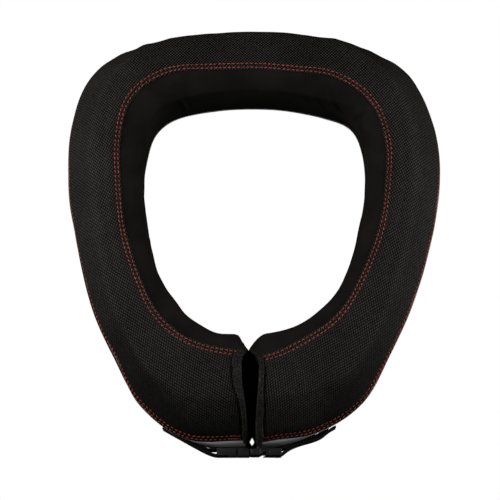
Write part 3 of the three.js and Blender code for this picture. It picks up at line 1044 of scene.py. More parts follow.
def cover_surface(sizes):
    stations = ring_stations(sizes.stations)
    curves = section_curves(sizes, stations)
    lines = np.concatenate([curves.brow, curves.cover[:, 1:]], axis=1)
    lengths = run_lengths(lines)
    seam = lengths[:, curves.brow.shape[1] - 1]
    fold_edge = seam - sizes.edge_margin - sizes.row_gap / 2.0
    total = lengths[:, -1]
    share = np.linspace(0.0, 1.0, MIDDLE_STEPS)[None, 1:-1]
    inner = fold_edge[:, None] + EDGE_STEPS
    outer = total[:, None] - EDGE_STEPS[::-1]
    at = np.concatenate([inner, blend(inner[:, -1:], outer[:, :1], share), outer], axis=1)
    outline = sample(lines, lengths, at)
    normal = outward(outline)

    edge_in = at - fold_edge[:, None]
    edge_out = total[:, None] - at
    turn = stations.turn[:, None]
    flat = on_ring(stations.side, stations.share, outline, END_SETBACK)
    run_in = run_lengths(flat[:, 0])[:, None]
    run_out = run_lengths(flat[:, -1])[:, None]
    near_in = edge_in < edge_out
    relief = np.where(near_in, edge_relief(sizes, edge_in, run_in), edge_relief(sizes, edge_out, run_out))
    relief += sizes.fold * (1.0 - smooth_step(edge_in, *FOLD_FADE))

    gather = ripple(turn, *GATHER_WAVES) * (1.0 - smooth_step(np.abs(turn), *GATHER_UNTIL))
    relief += GATHER * gather * bell(edge_out - GATHER_PLACE, GATHER_REACH)
    relief += WAVER * ripple(turn, *WAVER_WAVES) * smooth_step(edge_in, *WAVER_FROM)
    relief += crease_relief(COVER_CREASES, turn, edge_in, COVER_RADIUS)
    relief += end_relief(flat, outline, at)
    relief -= rim_tuck(turn) * (1.0 - smooth_step(edge_out, *FOLD_FADE))
    raised = outline + normal * relief[..., None]

    resting = edge_in < sizes.edge_margin + sizes.row_gap / 2.0 - LINING_TUCK
    under = np.where(resting, SKIN_AT_SEAM, -SKIN)
    under = np.where(edge_out < SKIN_RIM_WIDTH, -SKIN_AT_RIM, under)
    below = outline + normal * under[..., None]

    return Cover(
        grid=on_ring(stations.side, stations.share, raised, END_SETBACK),
        counts=cover_counts(stations, outline),
        stretch=cover_stretch_and_shade(turn, normal[..., 1]),
        under=on_ring(stations.side, stations.share, below, END_SETBACK),
    )


def cover_stretch_and_shade(turn, level):
    """How tightly the cloth is drawn: on the slopes, towards the front, most on the front slopes; with
    painted shade on the slopes.
    """
    slope = 1.0 - smooth_step(level, *STEEP)
    front = sum(size * smooth_step(np.abs(turn), low, high) for size, low, high in STRETCH_FRONT)
    most = STRETCH_SHADE_MOST_LEFT * smooth_step(-turn, *STRETCH_SHADE_MOST_FROM)
    most = most + STRETCH_SHADE_MOST_RIGHT * smooth_step(turn, *STRETCH_SHADE_MOST_FROM)
    return np.maximum(slope, front) + slope * most


def cover_counts(stations, outline):
    """Thread counts over the cover: the cloth's length down the slopes is taken up between plan and run."""
    start = outline[:, :1, 0]
    plan = outline[..., 0] - start
    run = run_lengths(outline)
    distance = start + blend(plan, run, SLOPE_TAKEN_UP)
    side, share = stations.side[:, None], stations.share[:, None]
    angle = ring_angle(side, share, outline[..., 0], outline[..., 1], END_SETBACK)
    return weave_counts(side, distance, angle)


class COLLAR_OT_cover(Operator):
    """Build the woven cover over the foam ring"""

    bl_idname = "collar.cover"
    bl_label = "Woven cover"

    def execute(self, context):
        cover = cover_surface(context.scene.collar_sizes)
        grid = np.concatenate([cover.grid, cover.under[:, COVER_BACK]], axis=1)
        counts = np.concatenate([cover.counts, cover.counts[:, COVER_BACK]], axis=1)
        piece = add_loft("woven_cover_shell", grid, counts)
        # The weave's closing and the painted shade of the slopes, for the cover's material to read
        give_values(piece, STRETCH_AND_SHADE, np.concatenate([cover.stretch, cover.stretch[:, COVER_BACK]], axis=1))
        dress(piece, woven_material(context.scene.collar_colours), "padded_ring")
        return {"FINISHED"}


def band(stations, raised, below, at, back):
    """Grid of a thin band with its hidden back, and its map along and across in metres."""
    outline = np.concatenate([raised, below[:, back]], axis=1)
    grid = on_ring(stations.side, stations.share, outline, END_SETBACK)
    across = np.concatenate([at, at[:, back]], axis=1)
    run = np.broadcast_to(run_lengths(grid[:, 0])[:, None], across.shape)
    return grid, np.stack([run, across], axis=-1)


# The lining round the neck
LINING_STATIONS = 260
LINING_COLUMNS = 44
LINING_BACK = slice(None, None, -3)
LINING_RADIUS = 110 * MM
LINING_WAVER = 0.5 * MM
LINING_WAVER_REACH = 0.3
LINING_WAVES = ((9, 14, 21), (0.3, 1.9, 4.4))
LINING_CREASES = (
    Crease(-30.5, 50, -28, 14, 1.4, -1.0),
    Crease(25.5, 44, 30.6, 24, 1.3, -0.9),
    Crease(30.3, 52, 36.4, 28, 1.5, -1.1),
    Crease(21, 40, 25, 26, 1.2, -0.6),
    Crease(44, 30, 47, 52, 2.4, 1.2),
    Crease(-46, 24, -49, 48, 2.6, 1.0),
    Crease(100, 20, 108, 44, 4.0, 0.8),
    Crease(-96, 22, -104, 42, 4.0, 0.8),
)


class COLLAR_OT_lining(Operator):
    """Build the smooth lining round the neck"""

    bl_idname = "collar.lining"
    bl_label = "Neck lining"

    def execute(self, context):
        sizes = context.scene.collar_sizes
        stations = ring_stations(LINING_STATIONS)
        curves = section_curves(sizes, stations)
        lines = np.concatenate([curves.wall, curves.brow[:, 1:]], axis=1)
        lengths = run_lengths(lines)
        share = np.linspace(0.0, 1.0, LINING_COLUMNS)[None, :]
        at = share * (lengths[:, -1:] - LINING_TUCK)
        outline = sample(lines, lengths, at)
        normal = outward(outline)
        turn = stations.turn[:, None]
        relief = crease_relief(LINING_CREASES, turn, at, LINING_RADIUS)
        relief += LINING_WAVER * ripple(turn, *LINING_WAVES) * bell(share - 0.5, LINING_WAVER_REACH)
        raised = outline + normal * relief[..., None]
        below = outline - normal * sizes.cloth
        grid, uv = band(stations, raised, below, at, LINING_BACK)
        piece = add_loft("lining_band", grid, uv / MM)
        dress(piece, lining_material(context.scene.collar_colours), "neck_lining")
        return {"FINISHED"}


# The base panel
BASE_STATIONS = 240
BASE_STEPS = np.concatenate([np.linspace(0.0, 0.34, 18), np.linspace(0.36, 1.0, 16)])
BASE_BACK = slice(None, None, -2)
BASE_THREADS = 900.0
BASE_SWELL = 2.4 * MM
BASE_SWELL_FROM = (4 * MM, 16 * MM)
BASE_SWELL_BELOW = 4 * MM
BASE_SWELL_UNTIL = (6, 17)
BASE_WAVER = 0.35 * MM
BASE_WAVER_PLACE = 12 * MM
BASE_WAVER_REACH = 6 * MM
BASE_WAVES = ((19, 29, 41), (0.0, 1.3, 2.9))
BASE_ROLL = 1.6
BASE_ROLL_FROM = (8 * MM, 16 * MM)


class COLLAR_OT_base(Operator):
    """Build the grey base panel under the ring"""

    bl_idname = "collar.base"
    bl_label = "Base panel"

    def execute(self, context):
        sizes = context.scene.collar_sizes
        stations = ring_stations(BASE_STATIONS)
        curves = section_curves(sizes, stations)
        lengths = run_lengths(curves.base)
        at = BASE_STEPS[None, :] * lengths[:, -1:]
        outline = sample(curves.base, lengths, at)
        normal = outward(outline)
        turn = stations.turn[:, None]
        height = outline[..., 1]
        rim = sizes.front_rim_height
        swell = BASE_SWELL * smooth_step(height, *BASE_SWELL_FROM)
        swell = swell * (1.0 - smooth_step(height, rim - BASE_SWELL_BELOW, rim))
        swell = swell * (1.0 - smooth_step(stations.angle, *BASE_SWELL_UNTIL))[:, None]
        waves = BASE_WAVER * ripple(turn, *BASE_WAVES) * bell(height - BASE_WAVER_PLACE, BASE_WAVER_REACH)
        rolled = BASE_ROLL * rim_tuck(turn) * smooth_step(height, *BASE_ROLL_FROM)
        raised = outline + normal * (swell + waves - rolled)[..., None]
        raised[..., 1] = np.maximum(raised[..., 1], 0.0)
        below = outline - normal * sizes.cloth
        grid, uv = band(stations, raised, below, at, BASE_BACK)
        piece = add_loft("under_panel", grid, uv * BASE_THREADS)
        dress(piece, base_material(context.scene.collar_colours), "base_panel")
        return {"FINISHED"}


# Stitching
STITCH_RINGS = np.array([-0.5, -0.36, -0.14, 0.14, 0.36, 0.5])
STITCH_LIFT = np.array([-0.35, 0.28, 0.5, 0.5, 0.28, -0.35])
STITCH_GIRTH = np.array([0.45, 0.9, 1.0, 1.0, 0.9, 0.45])
STITCH_SIDES = 6
STITCH_SLANT = 0.14
STITCH_LEAN = 0.05
STITCH_SHIFT = 0.12
STITCH_LENGTHS = (0.94, 1.08)
STITCH_FLAT = 0.8
BRIDGE_STEPS = np.linspace(-0.3, 1.3, 9)
INNER_SEED = 11
OUTER_SEED = 12
DENSE_SHARE = 0.62
ROW_STAGGER = 0.45


class RowEnds(NamedTuple):
    """Bare length before the first stitch at each end of a row, and the length there that is sewn over."""

    right_clear: float
    left_clear: float
    right_dense: float
    left_dense: float


INNER_ENDS = RowEnds(1.4 * MM, 4.2 * MM, 0.0, 4.5 * MM)
OUTER_ENDS = RowEnds(2.4 * MM, 1.6 * MM, 3.0 * MM, 10.0 * MM)


class Row(NamedTuple):
    """A row of stitches on the cover: its line, the way out of the cloth, and the way across the row."""

    line: np.ndarray
    normal: np.ndarray
    across: np.ndarray


def cover_row(cover, column):
    line = cover.grid[:, column]
    normal = grid_normals(cover.grid)[:, column]
    along = np.gradient(line, axis=0)
    across = np.cross(normal, along)
    return Row(line, normal, across / np.linalg.norm(across, axis=-1, keepdims=True))


def stitch_centres(sizes, total, ends, shift):
    """Places of the stitches along a row, which starts at its right end; sewn-over stitches lie closer."""
    centres = [ends.right_clear + sizes.stitch_length / 2.0 + shift]
    last = total - ends.left_clear - sizes.stitch_length / 2.0
    dense_until = ends.right_clear + ends.right_dense
    dense_from = last - ends.left_dense
    while centres[-1] < last:
        sewn_over = centres[-1] < dense_until or centres[-1] > dense_from
        centres.append(centres[-1] + sizes.stitch_pitch * (DENSE_SHARE if sewn_over else 1.0))
    return np.array(centres[:-1])


def stitches(sizes, row, centres, rng):
    """Vertices (stitches, rings, sides, 3) and maps in millimetres for one row of stitches."""
    run = run_lengths(row.line)
    count = len(centres)
    centres = centres + rng.uniform(-STITCH_SHIFT, STITCH_SHIFT, count) * MM
    reach = sizes.stitch_length * rng.uniform(*STITCH_LENGTHS, count)
    at = centres[:, None] + STITCH_RINGS * reach[:, None]
    base, normal, across = (
        np.stack([np.interp(at, run, line) for line in values.T], axis=-1) for values in row
    )
    radius = sizes.thread / 2.0
    lean = STITCH_SLANT + rng.uniform(-STITCH_LEAN, STITCH_LEAN, count)
    slant = lean[:, None] * STITCH_RINGS * reach[:, None]
    middle = base + normal * (STITCH_LIFT * radius)[None, :, None] + across * slant[..., None]
    around = np.linspace(0.0, 2.0 * np.pi, STITCH_SIDES, endpoint=False)
    girth = (STITCH_GIRTH * radius)[None, :, None, None]
    ring = (
        across[:, :, None, :] * np.cos(around)[None, None, :, None]
        + normal[:, :, None, :] * STITCH_FLAT * np.sin(around)[None, None, :, None]
    )
    verts = middle[:, :, None, :] + ring * girth
    sweep = np.broadcast_to(around[None, None, :] * radius / MM, verts.shape[:3])
    uv = np.stack([np.broadcast_to(at[..., None] / MM, verts.shape[:3]), sweep], axis=-1)
    return verts.reshape(count, -1, 3), uv.reshape(count, -1, 2)


def joining_row(first, second, at):
    """Short row across two rows of stitches, at one place along the first."""
    run = run_lengths(first.line)
    index = int(np.argmin(np.abs(run - at)))
    line = blend(first.line[index], second.line[index], BRIDGE_STEPS[:, None])
    along = first.line[index] - first.line[index - 1]
    across = along / np.linalg.norm(along)
    return Row(line, np.broadcast_to(first.normal[index], line.shape), np.broadcast_to(across, line.shape))


def sew(name, sizes, rows, ends, joined_at_left, seed):
    rng = np.random.default_rng(seed)
    made = []
    for order, row in enumerate(rows):
        shift = order * ROW_STAGGER * sizes.stitch_pitch
        centres = stitch_centres(sizes, run_lengths(row.line)[-1], ends, shift)
        made.append(stitches(sizes, row, centres, rng))
    if joined_at_left:
        bridge = joining_row(rows[0], rows[1], run_lengths(rows[0].line)[-1] - ends.left_clear)
        made.append(stitches(sizes, bridge, run_lengths(bridge.line)[-1:] / 2.0, rng))
    copies = np.concatenate([verts for verts, uv in made])
    uv = np.concatenate([uv for verts, uv in made])
    return add_copies(name, copies, loft_faces(len(STITCH_RINGS), STITCH_SIDES), uv)


class COLLAR_OT_stitches(Operator):
    """Sew the double rows along the inner seam and the rim"""

    bl_idname = "collar.stitches"
    bl_label = "Double stitching"

    def execute(self, context):
        sizes = context.scene.collar_sizes
        material = thread_material(context.scene.collar_colours)
        cover = cover_surface(sizes)
        first = int(np.argmin(np.abs(EDGE_STEPS - sizes.edge_margin)))
        second = int(np.argmin(np.abs(EDGE_STEPS - sizes.edge_margin - sizes.row_gap)))
        inner = [cover_row(cover, first), cover_row(cover, second)]
        outer = [cover_row(cover, -1 - first), cover_row(cover, -1 - second)]
        dress(sew("inner_seam_stitches", sizes, inner, INNER_ENDS, False, INNER_SEED), material)
        dress(sew("rim_stitches", sizes, outer, OUTER_ENDS, True, OUTER_SEED), material)
        return {"FINISHED"}


# Brushed caps on the two ends
CAP_POINTS = 240
CAP_FACE_RINGS = (0.02, 0.3, 0.55, 0.78, 0.93)
CAP_CORNER = ((0.0, -0.9), (0.25, -0.15), (0.8, 0.55), (1.6, 0.95))
CAP_PROUD = 1.1 * MM
CAP_TUCKED = 0.15
CAP_LIP_RINGS = 6
CAP_LIP_SWELL = 0.15
CAP_LIP_LEAST = 0.4 * MM
CAP_LIP_EDGE = ((0.7, 0.4), (0.15, 0.35))
CAP_UNDER = 0.1
CAP_INSIDE = -0.4 * MM
CAP_INSIDE_RINGS = (1.0, 0.5, 0.02)
CAP_BACK = 0.3 * MM
CAP_FOLD_HEIGHT = (10 * MM, 18 * MM)
CAP_FOLD_FROM = (END_SEAM - 4 * MM, END_SEAM)
CAP_OFF_FLOOR = (3 * MM, 9 * MM)
CAP_LINED_UNTIL = (END_SEAM - 4 * MM, END_SEAM - 1 * MM)
CAP_LUMP = 0.1 * MM
CAP_LUMP_SPREAD = 1.7
CAP_SEED = 40
FUZZ_COUNT = 2600
FUZZ_TRIES = 3 * FUZZ_COUNT
FUZZ_LENGTH = 1.1 * MM
FUZZ_LENGTHS = (0.4, 1.0)
FUZZ_WIDTH = 0.11 * MM
FUZZ_ROOT = 0.2 * MM
FUZZ_BEND_AT = 0.55
FUZZ_LEAN = 0.55
FUZZ_BEND = 0.6
FUZZ_ABOVE = 14 * MM
FUZZ_ACROSS = np.array([0.3, 0.5, 0.81])


def cap_outline(sizes, side):
    """Closed outline of one end's section and its outward normals."""
    curves = section_curves(sizes, Stations(np.array([side]), np.zeros(1)))
    runs = [curves.wall, curves.brow[:, 1:], curves.cover[:, 1:], curves.base[:, 1:]]
    line = np.concatenate([*runs, curves.wall[:, :1]], axis=1)
    lengths = run_lengths(line)
    at = np.linspace(0.0, lengths[0, -1], CAP_POINTS + 1)[None, :]
    outline = sample(line, lengths, at)
    normal = outward(outline)
    return outline[0, :-1], normal[0, :-1]


def cap_rings(sizes, hand):
    """Outline and setback of each ring, from the middle of the face round the lip and back inside."""
    outline, normal = cap_outline(sizes, HAND_SIDE[hand])
    distance, height = outline.T
    folds = smooth_step(height, *CAP_FOLD_HEIGHT) * smooth_step(distance, *CAP_FOLD_FROM)
    off_floor = smooth_step(height, *CAP_OFF_FLOOR)
    wavy = 1.0 + LIP_WAVE_UP * np.sin(height * LIP_RATE_UP)
    wavy = wavy + LIP_WAVE_OUT * np.sin(distance * LIP_RATE_OUT + LIP_PHASE_OUT)
    lip = blend(CAP_LIP_LEAST, lip_width(hand, distance) * wavy, folds)
    centre = np.array([distance.mean(), height.mean()])

    def offset(amount):
        lifted = np.where(amount > 0.0, amount * off_floor * blend(CAP_TUCKED, 1.0, folds), amount)
        return outline + normal * lifted[:, None]

    face_back, face_proud = CAP_CORNER[0]
    face = offset(face_proud * MM)
    rings = [(blend(centre, face, share), face_back * MM) for share in CAP_FACE_RINGS]
    rings += [(offset(proud * MM), back * MM) for back, proud in CAP_CORNER]
    for share in np.linspace(0.0, 1.0, CAP_LIP_RINGS):
        swell = CAP_PROUD * (1.0 + CAP_LIP_SWELL * math.sin(math.pi * share))
        rings.append((offset(swell), END_SETBACK + lip * share))
    rings += [(offset(proud * CAP_PROUD), END_SETBACK + lip + past * MM) for proud, past in CAP_LIP_EDGE]
    rings.append((offset(CAP_UNDER * CAP_PROUD), END_SETBACK))
    inside = offset(CAP_INSIDE)
    rings += [(blend(centre, inside, share), END_SETBACK - CAP_BACK) for share in CAP_INSIDE_RINGS]
    return rings


def place_cap(sizes, hand):
    side = np.array([HAND_SIDE[hand]])
    placed = [
        on_ring(side, np.zeros(1), outline[None], np.broadcast_to(setback, (1, CAP_POINTS)))[0]
        for outline, setback in cap_rings(sizes, hand)
    ]
    return np.stack(placed)


def cap_normals(grid):
    return grid_normals(np.concatenate([grid, grid[:, :1]], axis=1))[:, :-1]


def unit(ways):
    return ways / np.linalg.norm(ways, axis=1, keepdims=True)


def lined_share(places):
    """Share of lining at places on a cap: it is wrapped over the edge on the neck's side of the seam."""
    reach = np.hypot(places[..., 0] - AXIS_X, places[..., 1] - AXIS_Y)
    return 1.0 - smooth_step(reach, *CAP_LINED_UNTIL)


def fuzz(grid, rng):
    """Short bent fibres (fibres, points, 3) standing on the cap's lip and rounded edge."""
    first = len(CAP_FACE_RINGS) + 1
    last = first + len(CAP_CORNER) + CAP_LIP_RINGS - 1
    row = rng.uniform(first, last - 1, FUZZ_TRIES)
    column = rng.integers(0, CAP_POINTS, FUZZ_TRIES)
    low = row.astype(int)
    root = blend(grid[low, column], grid[low + 1, column], (row - low)[:, None])
    normal = cap_normals(grid)[low, column]
    bare = (root[:, 2] < FUZZ_ABOVE) | (lined_share(root) > 0.5)
    root, normal = root[~bare][:FUZZ_COUNT], normal[~bare][:FUZZ_COUNT]
    normal = np.where(normal[:, 2:] < -0.5, -normal, normal)
    lean = rng.normal(0.0, FUZZ_LEAN, root.shape)
    tall = FUZZ_LENGTH * rng.uniform(*FUZZ_LENGTHS, len(root))[:, None]
    first_way = unit(normal + lean)
    second_way = unit(first_way + rng.normal(0.0, FUZZ_BEND, root.shape))
    aside = unit(np.cross(first_way, FUZZ_ACROSS))
    other = np.cross(first_way, aside)
    base = root - first_way * FUZZ_ROOT
    middle = root + first_way * tall * FUZZ_BEND_AT
    tip = middle + second_way * tall * (1.0 - FUZZ_BEND_AT)
    points = []
    for centre in (base, middle):
        for corner in range(3):
            angle = corner * 2.0 * math.pi / 3.0
            points.append(centre + (aside * math.cos(angle) + other * math.sin(angle)) * FUZZ_WIDTH / 2.0)
    points.append(tip)
    return np.stack(points, axis=1)


FIBRE_FACES = [[2, 1, 0], [0, 1, 4, 3], [1, 2, 5, 4], [2, 0, 3, 5], [3, 4, 6], [4, 5, 6], [5, 3, 6]]


class COLLAR_OT_caps(Operator):
    """Build the brushed caps on both ends, with their fibres"""

    bl_idname = "collar.caps"
    bl_label = "End caps"

    def execute(self, context):
        sizes = context.scene.collar_sizes
        material = brushed_material(context.scene.collar_colours)
        for seed, hand in enumerate(("left", "right")):
            rng = np.random.default_rng(CAP_SEED + seed)
            grid = place_cap(sizes, hand)
            lumps = rng.normal(0.0, 1.0, grid.shape[:2])
            for shift in (1, 2):
                lumps = (lumps + np.roll(lumps, shift, 1) + np.roll(lumps, -shift, 1)) / CAP_LUMP_SPREAD
            lumps *= smooth_step(grid[..., 2], *CAP_OFF_FLOOR)
            solid = grid.copy()
            first = len(CAP_FACE_RINGS) + 2
            last = first + CAP_LIP_RINGS + 2
            solid[first:last] += (cap_normals(grid) * lumps[..., None] * CAP_LUMP)[first:last]
            piece = add_loft(f"cap_{hand}", solid)
            give_values(piece, LINED, lined_share(grid))
            dress(piece, material, f"end_cap_{hand}")
            fibres = add_copies(f"cap_fibres_{hand}", fuzz(grid, rng), FIBRE_FACES)
            dress(fibres, material)
        return {"FINISHED"}


# Webbing straps, drawn in plan from the neck axis
class Strap(NamedTuple):
    """Points of a strap in millimetres: its run from the sewn tab, the middle of its bar, and its tail."""

    side: int
    run: tuple
    bar: tuple
    tail: tuple


STRAPS = {
    "left": Strap(
        side=-1,
        run=((65.6, -151.7), (45, -163.2), (29, -171.65)),
        bar=(21.35, -169.8),
        tail=((28, -167.65), (31.6, -167.9), (37.5, -165.2), (46, -160.8), (56, -155.2)),
    ),
    "right": Strap(
        side=1,
        run=((64, -150.6), (59.2, -153.2), (52.2, -159.2), (37.3, -163.2), (29.5, -166.3), (22.8, -171.8)),
        bar=(19.75, -169.8),
        tail=((26, -166.7), (30.2, -163.9), (37.3, -161.1), (48, -158.2), (54, -154.6), (59, -150.4)),
    ),
}
BAR_TURN = 2.15
BAR_STEPS = 12
ROUND_PASSES = 3
SIDE_POINTS = 9
EDGE_POINTS = 7
EDGE_SHARE = 0.42
STRAP_STEP = 0.4 * MM
SELVEDGE_PITCH = 1.6 * MM
SELVEDGE_BUMP = 0.14 * MM


def rounded(line):
    """Corners of a line of points cut back again and again, so that it bends smoothly."""
    for _ in range(ROUND_PASSES):
        low = blend(line[:-1], line[1:], 0.25)
        high = blend(line[:-1], line[1:], 0.75)
        line = np.vstack([line[:1], np.stack([low, high], axis=1).reshape(-1, 2), line[-1:]])
    return line


def strap_line(strap):
    turn = np.linspace(-math.pi / 2.0, math.pi / 2.0, BAR_STEPS)
    loop = np.stack([
        strap.bar[0] - BAR_TURN * np.cos(turn),
        strap.bar[1] + BAR_TURN * np.sin(turn),
    ], axis=-1)
    line = np.vstack([strap.run, loop, strap.tail]) * MM
    line = rounded(line) * np.array([strap.side, 1.0])
    length_along = run_lengths(line)
    at = np.arange(0.0, length_along[-1], STRAP_STEP)
    return sample(line[None], length_along[None], at[None])[0], at


def strap_section(sizes):
    """Rounded outline of the webbing across: (through the strap, up it)."""
    half = sizes.webbing_thickness / 2.0
    high = sizes.webbing_width / 2.0
    side = np.linspace(-1.0, 1.0, SIDE_POINTS) * (high - half)
    bend = np.linspace(0.0, math.pi, EDGE_POINTS)
    upper = np.stack([half * np.cos(bend), high - half + half * np.sin(bend)], axis=-1)
    right = np.stack([np.full(SIDE_POINTS, half), side], axis=-1)[:-1]
    outline = np.vstack([right, upper])
    return np.vstack([outline, -outline])


class COLLAR_OT_straps(Operator):
    """Build the two webbing straps round the buckle's bars"""

    bl_idname = "collar.straps"
    bl_label = "Webbing straps"

    def execute(self, context):
        sizes = context.scene.collar_sizes
        material = webbing_material(context.scene.collar_colours)
        middle = sizes.webbing_bottom + sizes.webbing_width / 2.0
        outline = strap_section(sizes)
        for hand, strap in STRAPS.items():
            line, at = strap_line(strap)
            run = unit(np.gradient(line, axis=0))
            aside = np.stack([-run[:, 1], run[:, 0]], axis=-1)
            wave = SELVEDGE_BUMP * np.sin(2.0 * np.pi * at / SELVEDGE_PITCH)
            edge = np.sign(outline[:, 1]) * (np.abs(outline[:, 1]) > EDGE_SHARE * sizes.webbing_width)
            grid = np.zeros((len(line), len(outline), 3))
            grid[..., :2] = line[:, None] + aside[:, None] * outline[None, :, :1]
            grid[..., 0] += AXIS_X
            grid[..., 1] += AXIS_Y
            grid[..., 2] = middle + outline[None, :, 1] + wave[:, None] * edge[None, :]
            around = run_lengths(outline)
            uv = np.stack(np.broadcast_arrays(at[:, None], around[None, :]), axis=-1) / MM
            piece = add_loft(f"webbing_{hand}", grid, uv)
            dress(piece, material, f"strap_{hand}")
        return {"FINISHED"}


# The buckle, placed from the neck axis: x along it, y through it, z up
BUCKLE_Y = AXIS_Y - 169.8 * MM
BUCKLE_MIDDLE = 12 * MM
SOCKET_END = -25.0
SOCKET_MOUTH = -0.9
PLUG_BASE = 14.0
PLUG_END = 23.4
HALF_THICK = 2.6
HALF_HEIGHT = 11.7
SLOT_HALF = 10.3
SLOT_LENGTH = 4.0
PLUG_SLOT_LENGTH = 3.6
BAR_HALF = 1.1
BAR_INSET = 1.0
BAR_REACH = 4.2
POCKET_HALF = 1.4
PLUG_HALF = 1.1
PAD_HALF = 2.3
TONGUE = ((-6, -6), (4, -6), (6, -4), (6, 4), (4, 6), (-6, 6))
TONGUE_HALF = HALF_THICK - 0.01
POCKET = (-12, 9)
POCKET_HEIGHT = (-9, 9)
PLUG_ROOT = PLUG_BASE + 1
GUIDE = (-10.5, PLUG_ROOT)
GUIDE_HEIGHT = (-2.2, 2.2)
ARM = (
    (PLUG_ROOT, 6.5), (11, 6.5), (7, 8.2), (-2, 6), (-7, 5.6), (-7, 7.6), (-3, 8.6),
    (0.1, 8.6), (0.1, 9.3), (7.3, 9.9), (11.5, 8.8), (PLUG_ROOT, 8.8),
)
PAD = ((0.1, 8.6), (7.3, 8.4), (9.3, 9.4), (7.3, 11.4), (2.1, 11.7), (0.1, 11.2))
SHOULDER = (7.5, PLUG_ROOT)
SHOULDER_HEIGHT = (8.7, 11.4)
SHOULDER_THICKNESS = (-2.5, 2.5)
SLIT_MIDDLE = (9.2, -1.7)
SLIT_HALF_LENGTH = 2.9
SLIT_HALF_WIDTH = 0.8
SLIT_HEIGHT = (-15, 15)
SLIT_TURN = math.radians(28)
GROOVE = (-10.5, -9.3)
GROOVE_DEPTH = 1.2
BUCKLE_ROUND = 0.6 * MM
FINE_ROUND = 0.36 * MM
PLATE_ROUND = 0.3 * MM
ROUND_SEGMENTS = 3
SMOOTH_ANGLE = math.radians(35)
OVER = 3.0
CUT_THROUGH = (-2.0 * OVER, 2.0 * OVER)
WHOLE_HEIGHT = (-HALF_HEIGHT, HALF_HEIGHT)
WHOLE_THICKNESS = (-HALF_THICK, HALF_THICK)
SLOT_HEIGHT = (-SLOT_HALF, SLOT_HALF)
BAR_HEIGHT = (-SLOT_HALF - 0.5, SLOT_HALF + 0.5)
BAR_THICKNESS = (-BAR_HALF, BAR_HALF)


def buckle_place(x, through, up):
    """A point of the buckle, given in millimetres, in the shared frame."""
    return Vector((AXIS_X + x * MM, BUCKLE_Y + through * MM, BUCKLE_MIDDLE + up * MM))


def deselect():
    if bpy.context.object and bpy.context.object.mode != "OBJECT":
        bpy.ops.object.mode_set(mode="OBJECT")
    bpy.ops.object.select_all(action="DESELECT")


def choose(body):
    deselect()
    body.select_set(True)
    bpy.context.view_layer.objects.active = body


def add_block(name, x, through, up):
    """A cube brought to its size and place: each way is a (low, high) pair in millimetres."""
    deselect()
    low = buckle_place(x[0], through[0], up[0])
    high = buckle_place(x[1], through[1], up[1])
    bpy.ops.mesh.primitive_cube_add(size=1.0, location=(low + high) / 2.0)
    block = bpy.context.object
    block.name = name
    block.scale = high - low
    bpy.ops.object.transform_apply(location=True, rotation=True, scale=True)
    return block


def add_plate(name, corners, half):
    """A flat plate drawn by its corners along and up the buckle, drawn out through it."""
    deselect()
    bpy.ops.mesh.primitive_circle_add(vertices=len(corners), fill_type="NGON", location=(0, 0, 0))
    plate = bpy.context.object
    plate.name = name
    for vertex, (x, up) in zip(plate.data.vertices, corners):
        vertex.co = buckle_place(x, -half, up)
    bpy.ops.object.mode_set(mode="EDIT")
    bpy.ops.mesh.select_all(action="SELECT")
    bpy.ops.mesh.extrude_region_move(TRANSFORM_OT_translate={"value": (0.0, 2.0 * half * MM, 0.0)})
    bpy.ops.mesh.select_all(action="SELECT")
    bpy.ops.mesh.normals_make_consistent(inside=False)
    bpy.ops.object.mode_set(mode="OBJECT")
    return plate


def add_slit():
    """The slanting cut at the front between the plug's shoulders and its pads."""
    x, through = SLIT_MIDDLE
    along = (x - 2.0 * SLIT_HALF_LENGTH, x + SLIT_HALF_LENGTH)
    slit = add_block("slit", along, (through - SLIT_HALF_WIDTH, through + SLIT_HALF_WIDTH), SLIT_HEIGHT)
    middle = buckle_place(x, through, 0.0)
    turn = Matrix.Rotation(SLIT_TURN, 4, "Z")
    slit.data.transform(Matrix.Translation(middle) @ turn @ Matrix.Translation(-middle))
    return slit


def combine(body, tool, operation):
    """Joins a tool to a body or cuts it away, and removes the tool."""
    choose(body)
    modifier = body.modifiers.new("shape", "BOOLEAN")
    modifier.operation = operation
    modifier.solver = "EXACT"
    modifier.object = tool
    bpy.ops.object.modifier_apply(modifier=modifier.name)
    bpy.data.objects.remove(tool)


def round_edges(body, width):
    choose(body)
    modifier = body.modifiers.new("edges", "BEVEL")
    modifier.width = width
    modifier.segments = ROUND_SEGMENTS
    modifier.limit_method = "ANGLE"
    modifier.angle_limit = SMOOTH_ANGLE
    modifier.use_clamp_overlap = True
    bpy.ops.object.modifier_apply(modifier=modifier.name)
    bpy.ops.object.shade_smooth_by_angle(angle=SMOOTH_ANGLE)


def fuse(body, tool, width):
    """Joins a tool with rounded edges to a body."""
    round_edges(tool, width)
    combine(body, tool, "UNION")


